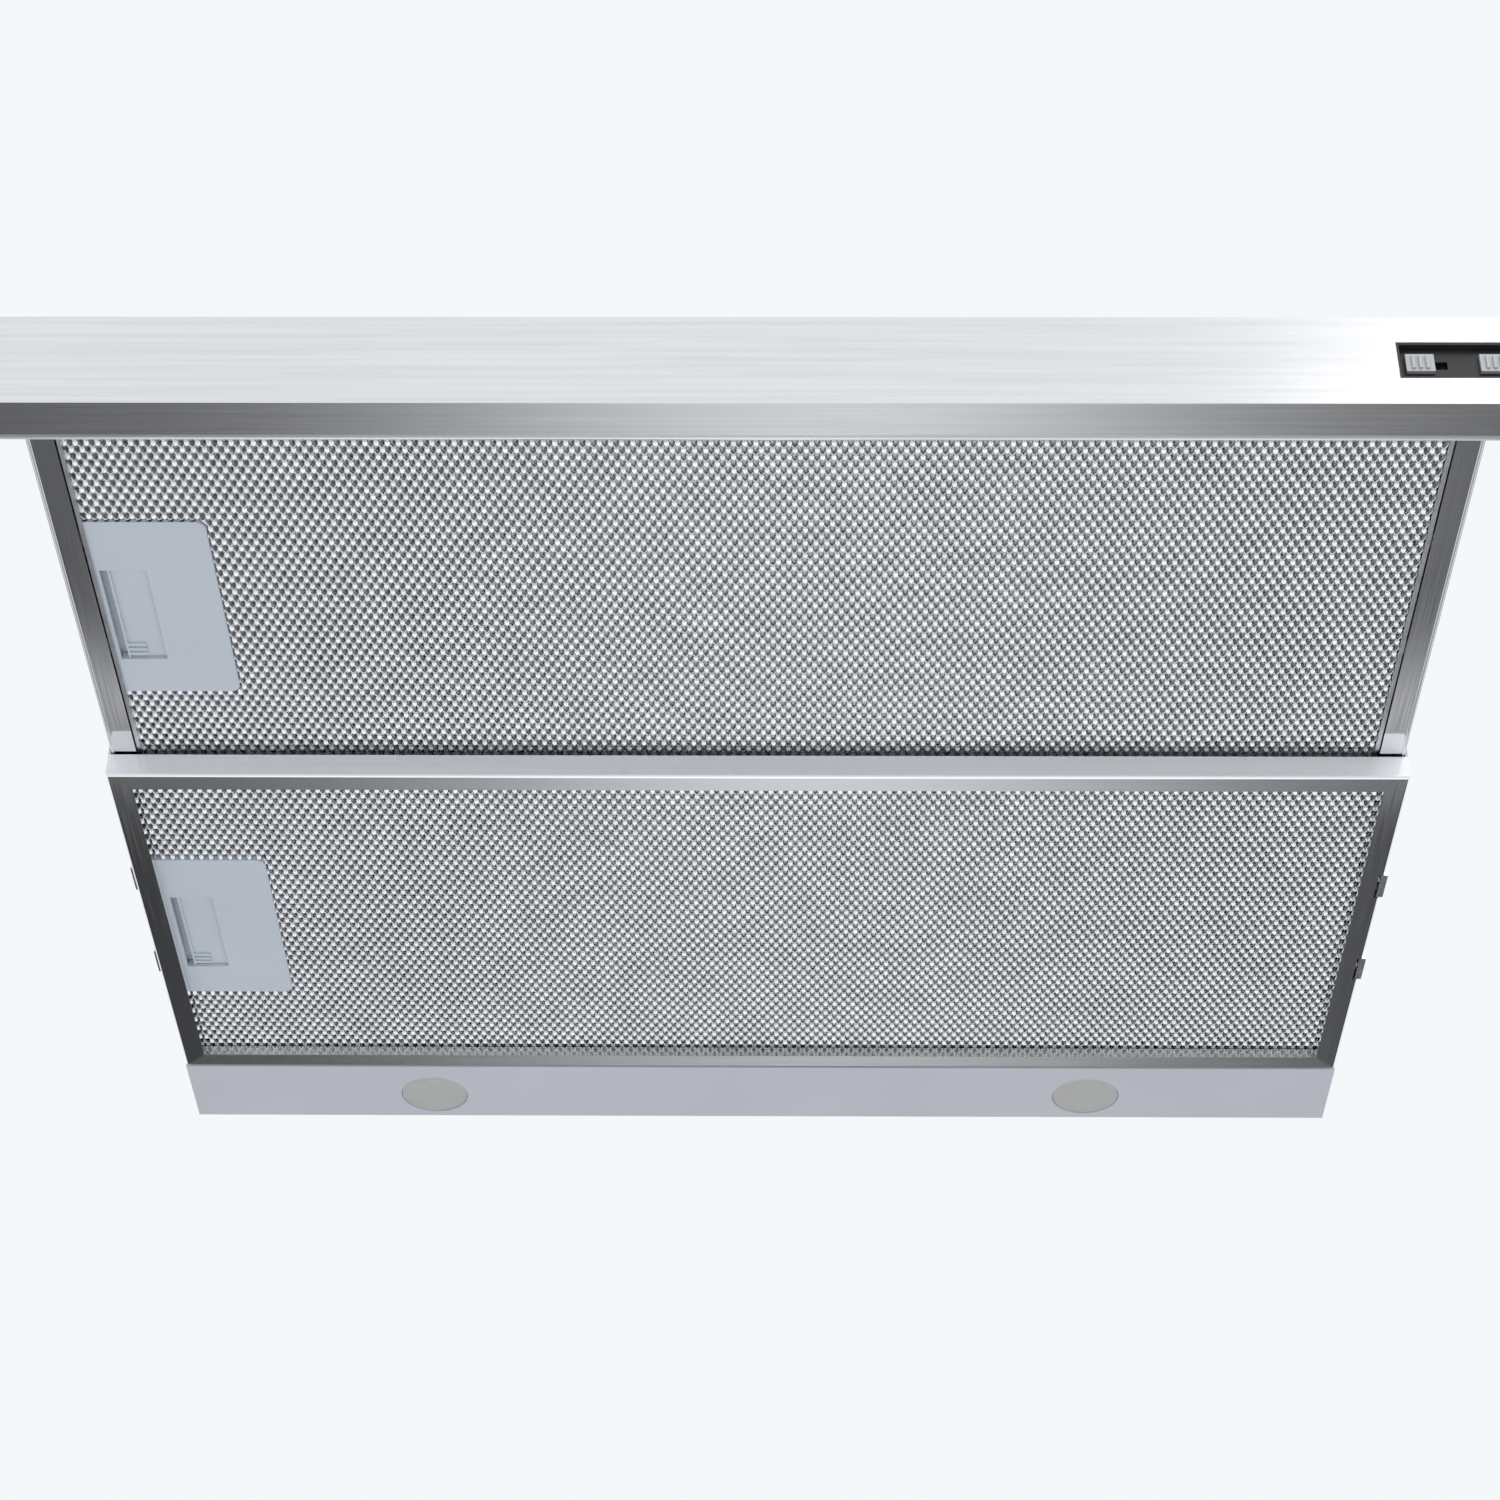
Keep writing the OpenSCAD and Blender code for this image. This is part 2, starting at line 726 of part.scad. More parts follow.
rotor_r = 24;
rotor_h = motor_h - 14;
module motor_housing() {
    boss_h = 4;
    color(steel) translate([fan_x, fan_y, bracket_top]) difference() {
        union() {
            cylinder(h = motor_h, d = motor_d);
            cylinder(h = motor_h + boss_h, r = shaft_r + 6);
            for (turn = [0 : 30 : 330]) rotate([0, 0, turn])
                translate([motor_d / 2 - 2, -1, 6]) cube([3.5, 2, motor_h - 12]);
        }
        translate([0, 0, -1]) cylinder(h = motor_h + boss_h + 2, r = shaft_r + shaft_gap);
        translate([0, 0, 7 - run_gap])
            cylinder(h = rotor_h + 2 * run_gap, r = rotor_r + run_gap);
    }
}

hub_h = 14;
wheel_z0 = scroll_z0 + scroll_t + (scroll_h - wheel_h) / 2;
wheel_z1 = wheel_z0 + wheel_h;
module motor_shaft() {
    color(bright) translate([fan_x, fan_y, 0]) {
        translate([0, 0, wheel_z1 - hub_h])
            cylinder(h = bracket_top + motor_h + 3 - wheel_z1 + hub_h, r = shaft_r, $fn = 48);
        translate([0, 0, bracket_top + 7]) cylinder(h = rotor_h, r = rotor_r);
    }
}

// Fan wheel: a back plate with a hub, a ring and forward-curved blades between them
module fan_wheel() {
    plate_t = 2;
    blade_t = 1;
    blade_r = blade_d * 0.9;
    color(black) translate([fan_x, fan_y, 0]) {
        difference() {
            union() {
                translate([0, 0, wheel_z1 - plate_t]) cylinder(h = plate_t, r = wheel_r);
                translate([0, 0, wheel_z1 - hub_h]) cylinder(h = hub_h, r = shaft_r + 8);
            }
            translate([0, 0, wheel_z1 - hub_h - 1])
                cylinder(h = hub_h + 2, r = shaft_r + shaft_gap);
        }
        translate([0, 0, wheel_z0]) difference() {
            cylinder(h = plate_t, r = wheel_r);
            translate([0, 0, -1]) cylinder(h = plate_t + 2, r = wheel_r - blade_d);
        }
        for (i = [0 : blade_count - 1]) rotate([0, 0, i * 360 / blade_count])
            translate([0, 0, wheel_z0 + plate_t / 2]) linear_extrude(wheel_h - plate_t)
                polygon(concat(
                    [for (a = [0 : 15 : 60])
                        [wheel_r - blade_d + 0.5 + blade_r * sin(a), blade_r * (1 - cos(a))]],
                    [for (a = [60 : -15 : 0])
                        [wheel_r - blade_d + 0.5 + (blade_r - blade_t) * sin(a),
                            blade_r - (blade_r - blade_t) * cos(a)]]
                ));
    }
}

// Electrics on the deck, right of the outlet chamber
box_x = [half_w - box_side - box_w, half_w - box_side];
box_y = [casing_y0 + box_front, casing_y0 + box_front + box_d];
module control_box() {
    box_t = 2;
    ear_w = 8;
    ear_d = 16;
    slot_count = 6;
    slot_pitch = box_w / (slot_count + 1.5);
    slot_w = slot_pitch / 3;
    ear_y = (box_y[0] + box_y[1] - ear_d) / 2;
    color([0.85, 0.86, 0.87]) difference() {
        union() {
            block(box_x, box_y, [deck_top, deck_top + box_h]);
            block([box_x[0] - ear_w, box_x[1] + ear_w], [ear_y, ear_y + ear_d],
                [deck_top, deck_top + box_t]);
        }
        block([box_x[0] + box_t, box_x[1] - box_t], [box_y[0] + box_t, box_y[1] - box_t],
            [deck_top - 1, deck_top + box_h - box_t]);
        for (i = [1 : slot_count])
            translate([box_x[0] + (i + 0.25) * slot_pitch - slot_w / 2, box_y[0] - 1,
                    deck_top + box_h / 3])
                cube([slot_w, box_t + 2, box_h / 3]);
    }
}

module capacitor() {
    foot_w = 4;
    foot_t = 2;
    cap_t = 3;
    color([0.82, 0.83, 0.85])
    translate([box_x[0] + capacitor_r + foot_w, box_y[1] + capacitor_gap + capacitor_r, deck_top]) {
        cylinder(h = capacitor_h, r = capacitor_r);
        translate([0, 0, capacitor_h]) cylinder(h = cap_t, r = capacitor_r - 2);
        cylinder(h = foot_t, r = capacitor_r + foot_w);
    }
}

module cable_gland() {
    stem_l = 8;
    nut_h = 5;
    barrel_h = 10;
    color(black) translate([gland_x, gland_y, 0]) difference() {
        union() {
            translate([0, 0, top_z0 - stem_l + sheet_t])
                cylinder(h = stem_l, r = gland_stem_r);
            translate([0, 0, casing_h]) cylinder(h = nut_h, r = gland_stem_r + 4.5, $fn = 6);
            translate([0, 0, casing_h + nut_h])
                cylinder(h = barrel_h, r = gland_stem_r + 1);
        }
        translate([0, 0, top_z0 - stem_l]) cylinder(h = 40, r = gland_bore_r);
    }
}

// The magnet on the screen closes the reed switch when the screen is pulled out
sensor_x = [-206, -194];
sensor_y = [screen_y1 - 12, screen_y1 - 3];
module screen_magnet() {
    color(steel) block(sensor_x, sensor_y, [cover_z1, cover_z1 + 3]);
}

module reed_switch() {
    color([0.9, 0.9, 0.88]) {
        block(sensor_x, sensor_y, [deck_z - 5, deck_z]);
        block([sensor_x[0] - 6, sensor_x[1] + 6], sensor_y, [deck_z - 1.5, deck_z]);
    }
}

// Clips on the casing's sides hold the rear filter: hooks on the right, windows on the left
rear_latch_front = cassette_y0 + rear_latch_y;
bolt_ys = [rear_latch_front + bolt_front, rear_latch_front + bolt_front + bolt_pitch];
rear_mesh_z = frame_lip_h + 0.1;
bolt_low = latch_t + 0.2;
bolt_high = latch_h - 0.5;
hook_z = [0.2, 1.2];
hook_reach = 1.8;
clip_low = 2.5;
clip_top = casing_z0 + clip_rise;
module filter_clips() {
    color(bright) for (y = bolt_ys) {
        block([half_w, half_w + clip_t], [y - clip_l / 2, y + clip_l / 2], [hook_z[0], clip_top]);
        block([half_w - hook_reach, half_w + clip_t], [y - clip_l / 2, y + clip_l / 2], hook_z);
        difference() {
            block([-half_w - clip_t, -half_w], [y - clip_l / 2, y + clip_l / 2],
                [clip_low, clip_top]);
            block([-half_w - clip_t - 1, -half_w + 1],
                [y - bolt_l / 2 - slide_gap, y + bolt_l / 2 + slide_gap],
                [rear_mesh_z + bolt_low - slide_gap, rear_mesh_z + bolt_high + slide_gap]);
        }
    }
}

// Rear filter: four mitred lengths of one folded profile around the mesh
// The section starts at the outer face and runs inward as its first number grows
module frame_section() {
    r = frame_edge_r;
    crimp_z = cassette_h - frame_t + 0.5;
    polygon(concat(
        [for (a = [180 : 15 : 270]) [r + r * cos(a), r + r * sin(a)]],
        [[frame_w, 0], [frame_w, frame_lip_h], [frame_w - frame_t, frame_lip_h],
            [frame_w - frame_t, frame_t], [frame_t, frame_t], [frame_t, crimp_z],
            [frame_crimp_w, crimp_z], [frame_crimp_w, cassette_h], [0, cassette_h]]
    ));
}

// Corner cut of a length: wide at the outer face, narrower by the same amount inside
module mitre(length) {
    reach = frame_w + 4;
    translate([0, 0, -1]) linear_extrude(cassette_h + 2)
        polygon([[0, 0], [length, 0], [length - reach, reach], [reach, reach]]);
}

module frame_length(length) {
    color(alu) intersection() {
        rotate([90, 0, 90]) linear_extrude(length) frame_section();
        mitre(length);
    }
}

module rear_frame_front() {
    translate([-cassette_x, cassette_y0, 0]) frame_length(2 * cassette_x);
}

module rear_frame_back() {
    translate([cassette_x, cassette_y1, 0]) rotate([0, 0, 180]) frame_length(2 * cassette_x);
}

module rear_frame_right() {
    notch_in = hook_reach + 1;
    difference() {
        translate([cassette_x, cassette_y0, 0]) rotate([0, 0, 90]) frame_length(cassette_d);
        for (y = bolt_ys)
            block([half_w - notch_in, half_w + 1],
                [y - clip_l / 2 - slide_gap, y + clip_l / 2 + slide_gap],
                [-1, hook_z[1] + 0.6]);
    }
}

module rear_frame_left() {
    difference() {
        translate([-cassette_x, cassette_y1, 0]) rotate([0, 0, -90]) frame_length(cassette_d);
        for (y = bolt_ys)
            block([-half_w - 1, -half_w + frame_w / 2],
                [y - bolt_l / 2 - slide_gap, y + bolt_l / 2 + slide_gap],
                [rear_mesh_z + bolt_low - slide_gap, rear_mesh_z + bolt_high + slide_gap]);
    }
}

// A sheet of mesh with staggered openings and a cut-out for the latch plate
module mesh_sheet(x, y, z, cut_x, cut_y) {
    cols = floor((x[1] - x[0] - mesh_web) / mesh_pitch_x);
    rows = floor((y[1] - y[0] - mesh_web) / mesh_pitch_y);
    mid_x = (x[0] + x[1]) / 2;
    mid_y = (y[0] + y[1]) / 2;
    slope = mesh_pitch_y / mesh_pitch_x * 2;
    hole_x = mesh_pitch_x - mesh_web / slope;
    hole = [hole_x, hole_x * slope];
    color(mesh_grey) translate([0, 0, z]) linear_extrude(mesh_t) difference() {
        rect(x, y);
        rect(cut_x, cut_y);
        for (j = [0 : rows - 1], i = [0 : cols - 1 - j % 2]) {
            hx = mid_x + (i - (cols - 1 - j % 2) / 2) * mesh_pitch_x;
            hy = mid_y + (j - (rows - 1) / 2) * mesh_pitch_y;
            clear_x = hx - hole[0] / 2 > cut_x[1] + mesh_web / 2;
            clear_y = hy + hole[1] / 2 < cut_y[0] - mesh_web / 2
                || hy - hole[1] / 2 > cut_y[1] + mesh_web / 2;
            if (clear_x || clear_y)
                translate([hx, hy]) polygon([[-hole[0] / 2, 0], [0, -hole[1] / 2],
                    [hole[0] / 2, 0], [0, hole[1] / 2]]);
        }
    }
}

rear_edge = -(cassette_x - frame_w);
rear_tuck = 2;
module rear_filter_mesh() {
    x = cassette_x - frame_t - 0.5;
    y = [cassette_y0 + frame_t + 0.5, cassette_y1 - frame_t - 0.5];
    mesh_sheet([-x, x], y, rear_mesh_z,
        [-x - 1, rear_edge + latch_w + seat_gap],
        [rear_latch_front - seat_gap, rear_latch_front + latch_l + seat_gap]);
}

// Latch, drawn from the filter's visible edge at x = 0 and the plate's front at y = 0
pocket_x = [pocket_side, pocket_side + pocket_w];
pocket_y = [pocket_front, pocket_front + pocket_l];
spring_y = pocket_y[1] + 9;
spring_x = [pocket_side + 11, latch_w - latch_t];
spring_z = latch_t + spring_r + spring_wire / 2 + 0.15;
floor_z = [latch_h - 1, latch_h - 0.2];

module plate_outline(shrink, tuck) {
    r = max(latch_r - shrink, 0.5);
    x1 = latch_w - shrink;
    y0 = shrink;
    y1 = latch_l - shrink;
    rect([-tuck, x1 - r], [y0, y1]);
    rect([-tuck, x1], [y0 + r, y1 - r]);
    for (y = [y0 + r, y1 - r])
        translate([x1 - r, y]) circle(r = r, $fn = 32);
}

module latch_plate(tuck) {
    wall_x = [pocket_x[0], pocket_x[1] + latch_t];
    color(latch_grey) difference() {
        union() {
            difference() {
                linear_extrude(latch_h) plate_outline(0, tuck);
                translate([0, 0, latch_t]) linear_extrude(latch_h)
                    plate_outline(latch_t, tuck + 1);
            }
            for (y = [pocket_y[0] - latch_t, pocket_y[1]])
                block(wall_x, [y, y + latch_t], [latch_t / 2, floor_z[0] - seat_gap]);
        }
        block(pocket_x, pocket_y, [-1, latch_h]);
    }
}

// The slide closes the pocket from above. Its finger plate lies just under the plate's skin and slides
// further under it when a fingertip in the slot pulls the grip.
module latch_slide(reach) {
    arm_half = 2.5;
    rib_l = 1.4;
    ribs = 3;
    spine_x0 = pocket_x[0] - 1.5;
    spine_y = [bolt_front - bolt_l / 2, spring_y + 4];
    floor_y = [pocket_y[0] - latch_t, pocket_y[1] + latch_t];
    grip_x = [pocket_x[0] + slot_w, pocket_x[0] + slot_w + grip_w];
    grip_y = [pocket_y[0] + seat_gap, pocket_y[1] - seat_gap];
    finger_z = [latch_t + seat_gap, latch_t + 1];
    rib_y0 = grip_y[1] - 1.5 - pad_w;
    color(latch_grey) {
        for (y = [bolt_front, bolt_front + bolt_pitch])
            block([-reach, spine_x0 + 1], [y - bolt_l / 2, y + bolt_l / 2],
                [bolt_low, y > pocket_y[0] && y < pocket_y[1] ? bolt_high : floor_z[0]]);
        block([spine_x0, grip_x[1] + 3.4], spine_y, floor_z);
        block([spine_x0, pocket_x[1] + latch_t], floor_y, floor_z);
        block(grip_x, grip_y, [latch_t - 0.8, floor_z[1]]);
        block([grip_x[0], pocket_x[1] + latch_travel], grip_y, finger_z);
        for (i = [0 : ribs - 1])
            let (y = rib_y0 + i * (pad_w - rib_l) / (ribs - 1))
                block([grip_x[1] - 0.1, grip_x[1] + pad_w], [y, y + rib_l],
                    [latch_t - 0.6, finger_z[1]]);
        block([grip_x[1], spring_x[0]], [spring_y - arm_half, spring_y + arm_half], floor_z);
        block([spring_x[0] - 1.2, spring_x[0]], [spring_y - arm_half, spring_y + arm_half],
            [finger_z[0], floor_z[1]]);
    }
}

// Helical spring: a wire of six sides swept along its turns, in one piece
module latch_spring() {
    sides = 6;
    per_turn = 8;
    n = spring_turns * per_turn;
    length = spring_x[1] - spring_x[0] - spring_wire - 2 * 0.15;
    function centre(i) = let (a = 360 * i / per_turn)
        [spring_x[0] + 0.15 + spring_wire / 2 + length * i / n,
            spring_y + spring_r * cos(a), spring_z + spring_r * sin(a)];
    function ring(i) = let (a = 360 * i / per_turn)
        [for (k = [0 : sides - 1]) let (b = 360 * k / sides)
            centre(i) + spring_wire / 2 * [sin(b), cos(b) * cos(a), cos(b) * sin(a)]];
    points = [for (i = [0 : n]) each ring(i)];
    skin = [for (i = [0 : n - 1], k = [0 : sides - 1])
        let (a = i * sides + k, b = i * sides + (k + 1) % sides)
        each [[a, b, b + sides], [a, b + sides, a + sides]]];
    ends = [for (k = [1 : sides - 2])
        each [[0, k + 1, k], [n * sides, n * sides + k, n * sides + k + 1]]];
    color(steel) polyhedron(points = points, faces = concat(skin, ends));
}

module rear_latch() {
    translate([rear_edge, rear_latch_front, rear_mesh_z]) children();
}

module rear_latch_plate() {
    rear_latch() latch_plate(rear_tuck);
}

module rear_latch_slide() {
    rear_latch() latch_slide(frame_w + seat_gap + clip_t - 0.2);
}

module rear_latch_spring() {
    rear_latch() latch_spring();
}

// Front filter, in a thin frame between the screen's rails
front_z0 = screen_z0 + front_filter_rise;
front_shelf_z = [screen_z0, front_z0 - 0.2];
front_shelf_d = 6;
front_z1 = front_z0 + front_frame_h;
front_y0 = bar_back + slide_gap;
front_y1 = screen_y1 - rail_t - slide_gap;
front_mesh_z = front_z0 + front_frame_t + 0.1;
front_edge = -(front_x - front_frame_t - 0.3);
front_latch_front = bar_back + front_latch_y;
front_bolt_ys = [front_latch_front + bolt_front, front_latch_front + bolt_front + bolt_pitch];
front_bolt_z = [front_mesh_z + bolt_low - slide_gap, front_mesh_z + bolt_high + slide_gap];

module ring_level(inset, z) {
    translate([0, 0, z[0]]) linear_extrude(z[1] - z[0]) difference() {
        rect([-front_x, front_x], [front_y0, front_y1]);
        rect([-front_x + inset, front_x - inset], [front_y0 + inset, front_y1 - inset]);
    }
}

module front_filter_frame() {
    crimp_w = 4;
    tongue_w = slide_gap + rail_t + 0.4;
    color(alu) {
        difference() {
            union() {
                ring_level(front_frame_t, [front_z0, front_z1]);
                ring_level(front_lip_w, [front_z0, front_z0 + front_frame_t]);
                ring_level(crimp_w, [front_z1 - front_frame_t, front_z1]);
            }
            for (y = front_bolt_ys)
                block([-front_x - 1, -front_x + 2],
                    [y - bolt_l / 2 - slide_gap, y + bolt_l / 2 + slide_gap], front_bolt_z);
        }
        for (y = front_bolt_ys)
            block([front_x - front_frame_t / 2, front_x + tongue_w],
                [y - bolt_l / 2, y + bolt_l / 2],
                [front_bolt_z[0] + slide_gap, front_bolt_z[1] - slide_gap]);
    }
}

module front_filter_mesh() {
    inset = front_frame_t + 0.3;
    mesh_sheet([-front_x + inset, front_x - inset], [front_y0 + inset, front_y1 - inset],
        front_mesh_z,
        [-front_x, front_edge + latch_w + seat_gap],
        [front_latch_front - seat_gap, front_latch_front + latch_l + seat_gap]);
}

module front_latch() {
    translate([front_edge, front_latch_front, front_mesh_z]) children();
}

module front_latch_plate() {
    front_latch() latch_plate(0);
}

module front_latch_slide() {
    front_latch() latch_slide(front_frame_t + 0.3 + slide_gap + rail_t + 0.4);
}

module front_latch_spring() {
    front_latch() latch_spring();
}

// Screen rails: a flat underside with a bright bead, a web and a ledge for the cover
module screen_rail() {
    ledge_w_in = 8;
    stop_z = front_z1 + 0.6;
    bead_z = screen_z0 - rail_bead_drop + rail_bead_w / 2;
    color(alu) difference() {
        along_y(bar_back, screen_y1) {
            rect([rail_in, rail_out], [screen_z0, screen_z0 + rail_t]);
            rect([rail_out - rail_bead_w, rail_out], [bead_z, screen_z0 + rail_bead_h]);
            translate([rail_out - rail_bead_w / 2, bead_z]) circle(d = rail_bead_w, $fn = 32);
            rect([rail_in, rail_in + rail_t], [screen_z0, screen_z1]);
            rect([rail_in - ledge_w_in, rail_in + rail_t], [screen_z1 - rail_t, screen_z1]);
            rect([rail_in - 2, rail_in], [stop_z, stop_z + 1]);
        }
        for (y = front_bolt_ys)
            block([rail_in - 0.1, rail_in + rail_t + 0.1],
                [y - bolt_l / 2 - slide_gap, y + bolt_l / 2 + slide_gap], front_bolt_z);
    }
}

module screen_rail_right() {
    screen_rail();
}

module screen_rail_left() {
    on_left() screen_rail();
}

module screen_rear_rail() {
    color(alu) along_x(-rail_in, rail_in) {
        rect([screen_y1 - rail_t, screen_y1], [screen_z0, front_z1]);
        rect([screen_y1 - front_shelf_d, screen_y1], front_shelf_z);
    }
}

module screen_cover() {
    color(paint) block([-rail_in - rail_t, rail_in + rail_t], [bar_back, screen_y1],
        [screen_z1, cover_z1]);
}

// Front bar: a brushed cover around a grey inner profile, closed by two caps
bar_half = bar_w / 2 - bar_cap_t;
bar_core_y = front_y + bar_cover_t;
bar_cover_back = front_y + bar_cover_d;
switch_w = 2 * knob_w + light_travel + speed_travel + 14;
switch_x1 = bar_w / 2 - switch_inset;
switch_x0 = switch_x1 - switch_w;
switch_z0 = (bar_h - switch_h) / 2;
switch_x = [switch_x0, switch_x1];
switch_z = [switch_z0, switch_z0 + switch_h];

module bar_cover() {
    color(steel) difference() {
        along_x(-bar_half, bar_half) {
            rect([front_y, bar_core_y], [0, bar_h]);
            rect([front_y, bar_cover_back], [0, bar_cover_t]);
            rect([front_y, bar_cover_back], [bar_h - bar_cover_t, bar_h]);
        }
        block(switch_x, [front_y - 1, bar_core_y + 1], switch_z);
    }
}

module bar_core() {
    low = bar_cover_t;
    high = bar_h - bar_cover_t;
    shelf_d = 4;
    color(bright) difference() {
        along_x(-bar_half, bar_half) {
            difference() {
                rect([bar_core_y, bar_cover_back], [low, high]);
                rect([bar_core_y + bar_core_t, bar_cover_back - bar_core_t],
                    [low + bar_core_t, high - bar_core_t]);
            }
            rect([bar_cover_back - 0.01, bar_back], [low + 0.4, low + 0.4 + bar_core_t]);
            rect([bar_cover_back + 0.4, bar_back], [0.4, low + 0.5]);
            rect([bar_back - bar_core_t, bar_back], [0.4, screen_z1]);
        }
        block(switch_x, [front_y - 1, bar_core_y + bar_core_t + 1], switch_z);
    }
    color(bright) block([-rail_in + 1, rail_in - 1], [bar_back - 0.1, bar_back + shelf_d],
        front_shelf_z);
}

module bar_cap() {
    edge_r = 1;
    color(bright) translate([bar_half, 0, 0]) rotate([90, 0, 90]) linear_extrude(bar_cap_t) {
        rect([front_y + edge_r, bar_back], [0, bar_h]);
        rect([front_y, bar_back], [edge_r, bar_h - edge_r]);
        for (z = [edge_r, bar_h - edge_r])
            translate([front_y + edge_r, z]) circle(r = edge_r, $fn = 24);
    }
}

module bar_cap_right() {
    bar_cap();
}

module bar_cap_left() {
    on_left() bar_cap();
}

// Switch panel: a shallow tray in the bar's front with two slots for the knobs
tray_t = 1;
tray_d = 4;
knob_h = 8;
stem_w = 3;
light_x0 = switch_x0 + 3;
speed_x0 = light_x0 + knob_w + light_travel + 8;
knob_z = bar_h / 2;
module switch_panel() {
    tray_y = [front_y + 0.2, front_y + tray_d];
    color(black) difference() {
        block(switch_x, tray_y, switch_z);
        block([switch_x0 + tray_t, switch_x1 - tray_t], [front_y - 1, front_y + tray_d - tray_t],
            [switch_z[0] + tray_t, switch_z[1] - tray_t]);
        for (s = [[light_x0, light_travel], [speed_x0, speed_travel]])
            block([s[0] + (knob_w - stem_w) / 2 - seat_gap,
                    s[0] + (knob_w + stem_w) / 2 + s[1] + seat_gap],
                [front_y, front_y + tray_d + 1],
                [knob_z - stem_w / 2 - seat_gap, knob_z + stem_w / 2 + seat_gap]);
    }
}

module knob(x0) {
    back = front_y + tray_d - tray_t - 0.2;
    color([0.75, 0.76, 0.78]) {
        block([x0, x0 + knob_w], [front_y + 1.2, back],
            [knob_z - knob_h / 2, knob_z + knob_h / 2]);
        for (i = [0 : 2])
            block([x0 + 2 + i * (knob_w - 5) / 2, x0 + 3 + i * (knob_w - 5) / 2],
                [front_y + 0.4, front_y + 1.3],
                [knob_z - knob_h / 2 + 1, knob_z + knob_h / 2 - 1]);
        block([x0 + (knob_w - stem_w) / 2, x0 + (knob_w + stem_w) / 2],
            [back - 0.1, front_y + tray_d + 2],
            [knob_z - stem_w / 2, knob_z + stem_w / 2]);
    }
}

module light_switch() {
    knob(light_x0);
}

module speed_switch() {
    knob(speed_x0);
}

casing_left();
casing_right();
casing_back();
casing_front();
casing_top();
fan_deck();
rear_light_panel();
lamp_left();
lamp_right();
lens_left();
lens_right();
side_bracket_left();
side_bracket_right();
runner_outer_left();
runner_outer_right();
scroll_lower();
scroll_upper();
outlet_duct();
outlet_collar();
motor_housing();
motor_bracket();
capacitor();
control_box();
cable_gland();
reed_switch();
casing_screws();
filter_clips();
bar_cover();
bar_core();
bar_cap_left();
bar_cap_right();
screen_rail_left();
screen_rail_right();
screen_rear_rail();
screen_cover();
runner_inner_left();
runner_inner_right();
switch_panel();
screen_magnet();
front_filter_frame();
front_filter_mesh();
front_latch_plate();
front_latch_spring();
front_latch_slide();
runner_cage_left();
runner_cage_right();
rear_frame_front();
rear_frame_back();
rear_frame_left();
rear_frame_right();
rear_filter_mesh();
rear_latch_plate();
rear_latch_spring();
rear_latch_slide();
fan_wheel();
motor_shaft();
flap_front();
flap_rear();
light_switch();
speed_switch();
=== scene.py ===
# %% [markdown]
# # A telescopic range hood, seen from below
# A telescopic hood hides above the hob. Its front bar pulls out a flat screen with a grease filter in it,
# and a second filter stays under the casing. What makes the real one look real is bright layered filter
# mesh, thin drawn aluminium frames and two pale plastic latch plates. The solids come ready made, so this
# notebook gives them their finish, and makes the fine mesh that no solid could hold.

# %% Load the hood
import json
import math

import bpy
import numpy as np
from mathutils import Matrix, Vector


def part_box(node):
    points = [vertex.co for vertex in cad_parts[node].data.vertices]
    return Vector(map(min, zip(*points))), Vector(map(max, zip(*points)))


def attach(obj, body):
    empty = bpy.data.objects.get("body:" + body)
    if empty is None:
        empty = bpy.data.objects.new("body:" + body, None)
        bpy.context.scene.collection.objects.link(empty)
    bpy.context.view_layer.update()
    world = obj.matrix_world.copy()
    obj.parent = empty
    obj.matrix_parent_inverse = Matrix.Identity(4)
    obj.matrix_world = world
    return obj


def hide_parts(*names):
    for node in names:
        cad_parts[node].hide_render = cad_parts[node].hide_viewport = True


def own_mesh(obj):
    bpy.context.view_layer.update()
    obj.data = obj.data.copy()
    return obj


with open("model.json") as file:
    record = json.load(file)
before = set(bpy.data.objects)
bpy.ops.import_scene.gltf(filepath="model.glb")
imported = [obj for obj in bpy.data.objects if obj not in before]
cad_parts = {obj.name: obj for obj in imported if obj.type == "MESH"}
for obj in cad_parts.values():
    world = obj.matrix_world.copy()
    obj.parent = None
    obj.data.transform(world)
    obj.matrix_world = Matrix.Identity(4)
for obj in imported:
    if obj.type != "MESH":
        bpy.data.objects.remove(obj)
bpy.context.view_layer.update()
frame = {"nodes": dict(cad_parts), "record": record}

# %% [markdown]
# ## Measures
# Everything that is made here sits in or on a solid, so its place is read from that solid's box. A helper
# turns a box into three spans, and lengths are written in metres through one millimetre.

# %% Millimetres and spans
MM = 0.001


def spans(node):
    low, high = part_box(node)
    return [(low[i], high[i]) for i in range(3)]


for name in ("bar_cover", "front_filter_mesh", "rear_filter_mesh", "rear_light_panel"):
    print(name, [tuple(round(v / MM, 1) for v in span) for span in spans(name)])

# %% [markdown]
# ## Camera
# The picture is taken from in front of the hob, at about waist height, looking up at the pulled-out screen.
# The camera's place, its tilt and its lens were fitted until the edges of the bar, the rails, the filters and
# the latch plates fell where the picture shows them. A camera looks along its own -Z, so a tilt of 90 degrees
# plus the upward look points it at the hood; the turn and the roll are small, as in any hand-held picture.
# Each camera, lamp and piece needs the same two lines to enter the scene, so a helper holds them.

# %% Camera
CAMERA_PLACE = Vector((11.0, -1091.6, -772.9)) * MM
LOOK_UP = math.radians(36.38)
TURN_LEFT = math.radians(0.739)
ROLL = math.radians(0.547)
SENSOR_WIDTH_MM = 36.0
LENS_LENGTH_MM = 79.04
FARTHEST_SEEN = 50


def put_in_scene(name, data):
    thing = bpy.data.objects.new(name, data)
    bpy.context.scene.collection.objects.link(thing)
    return thing


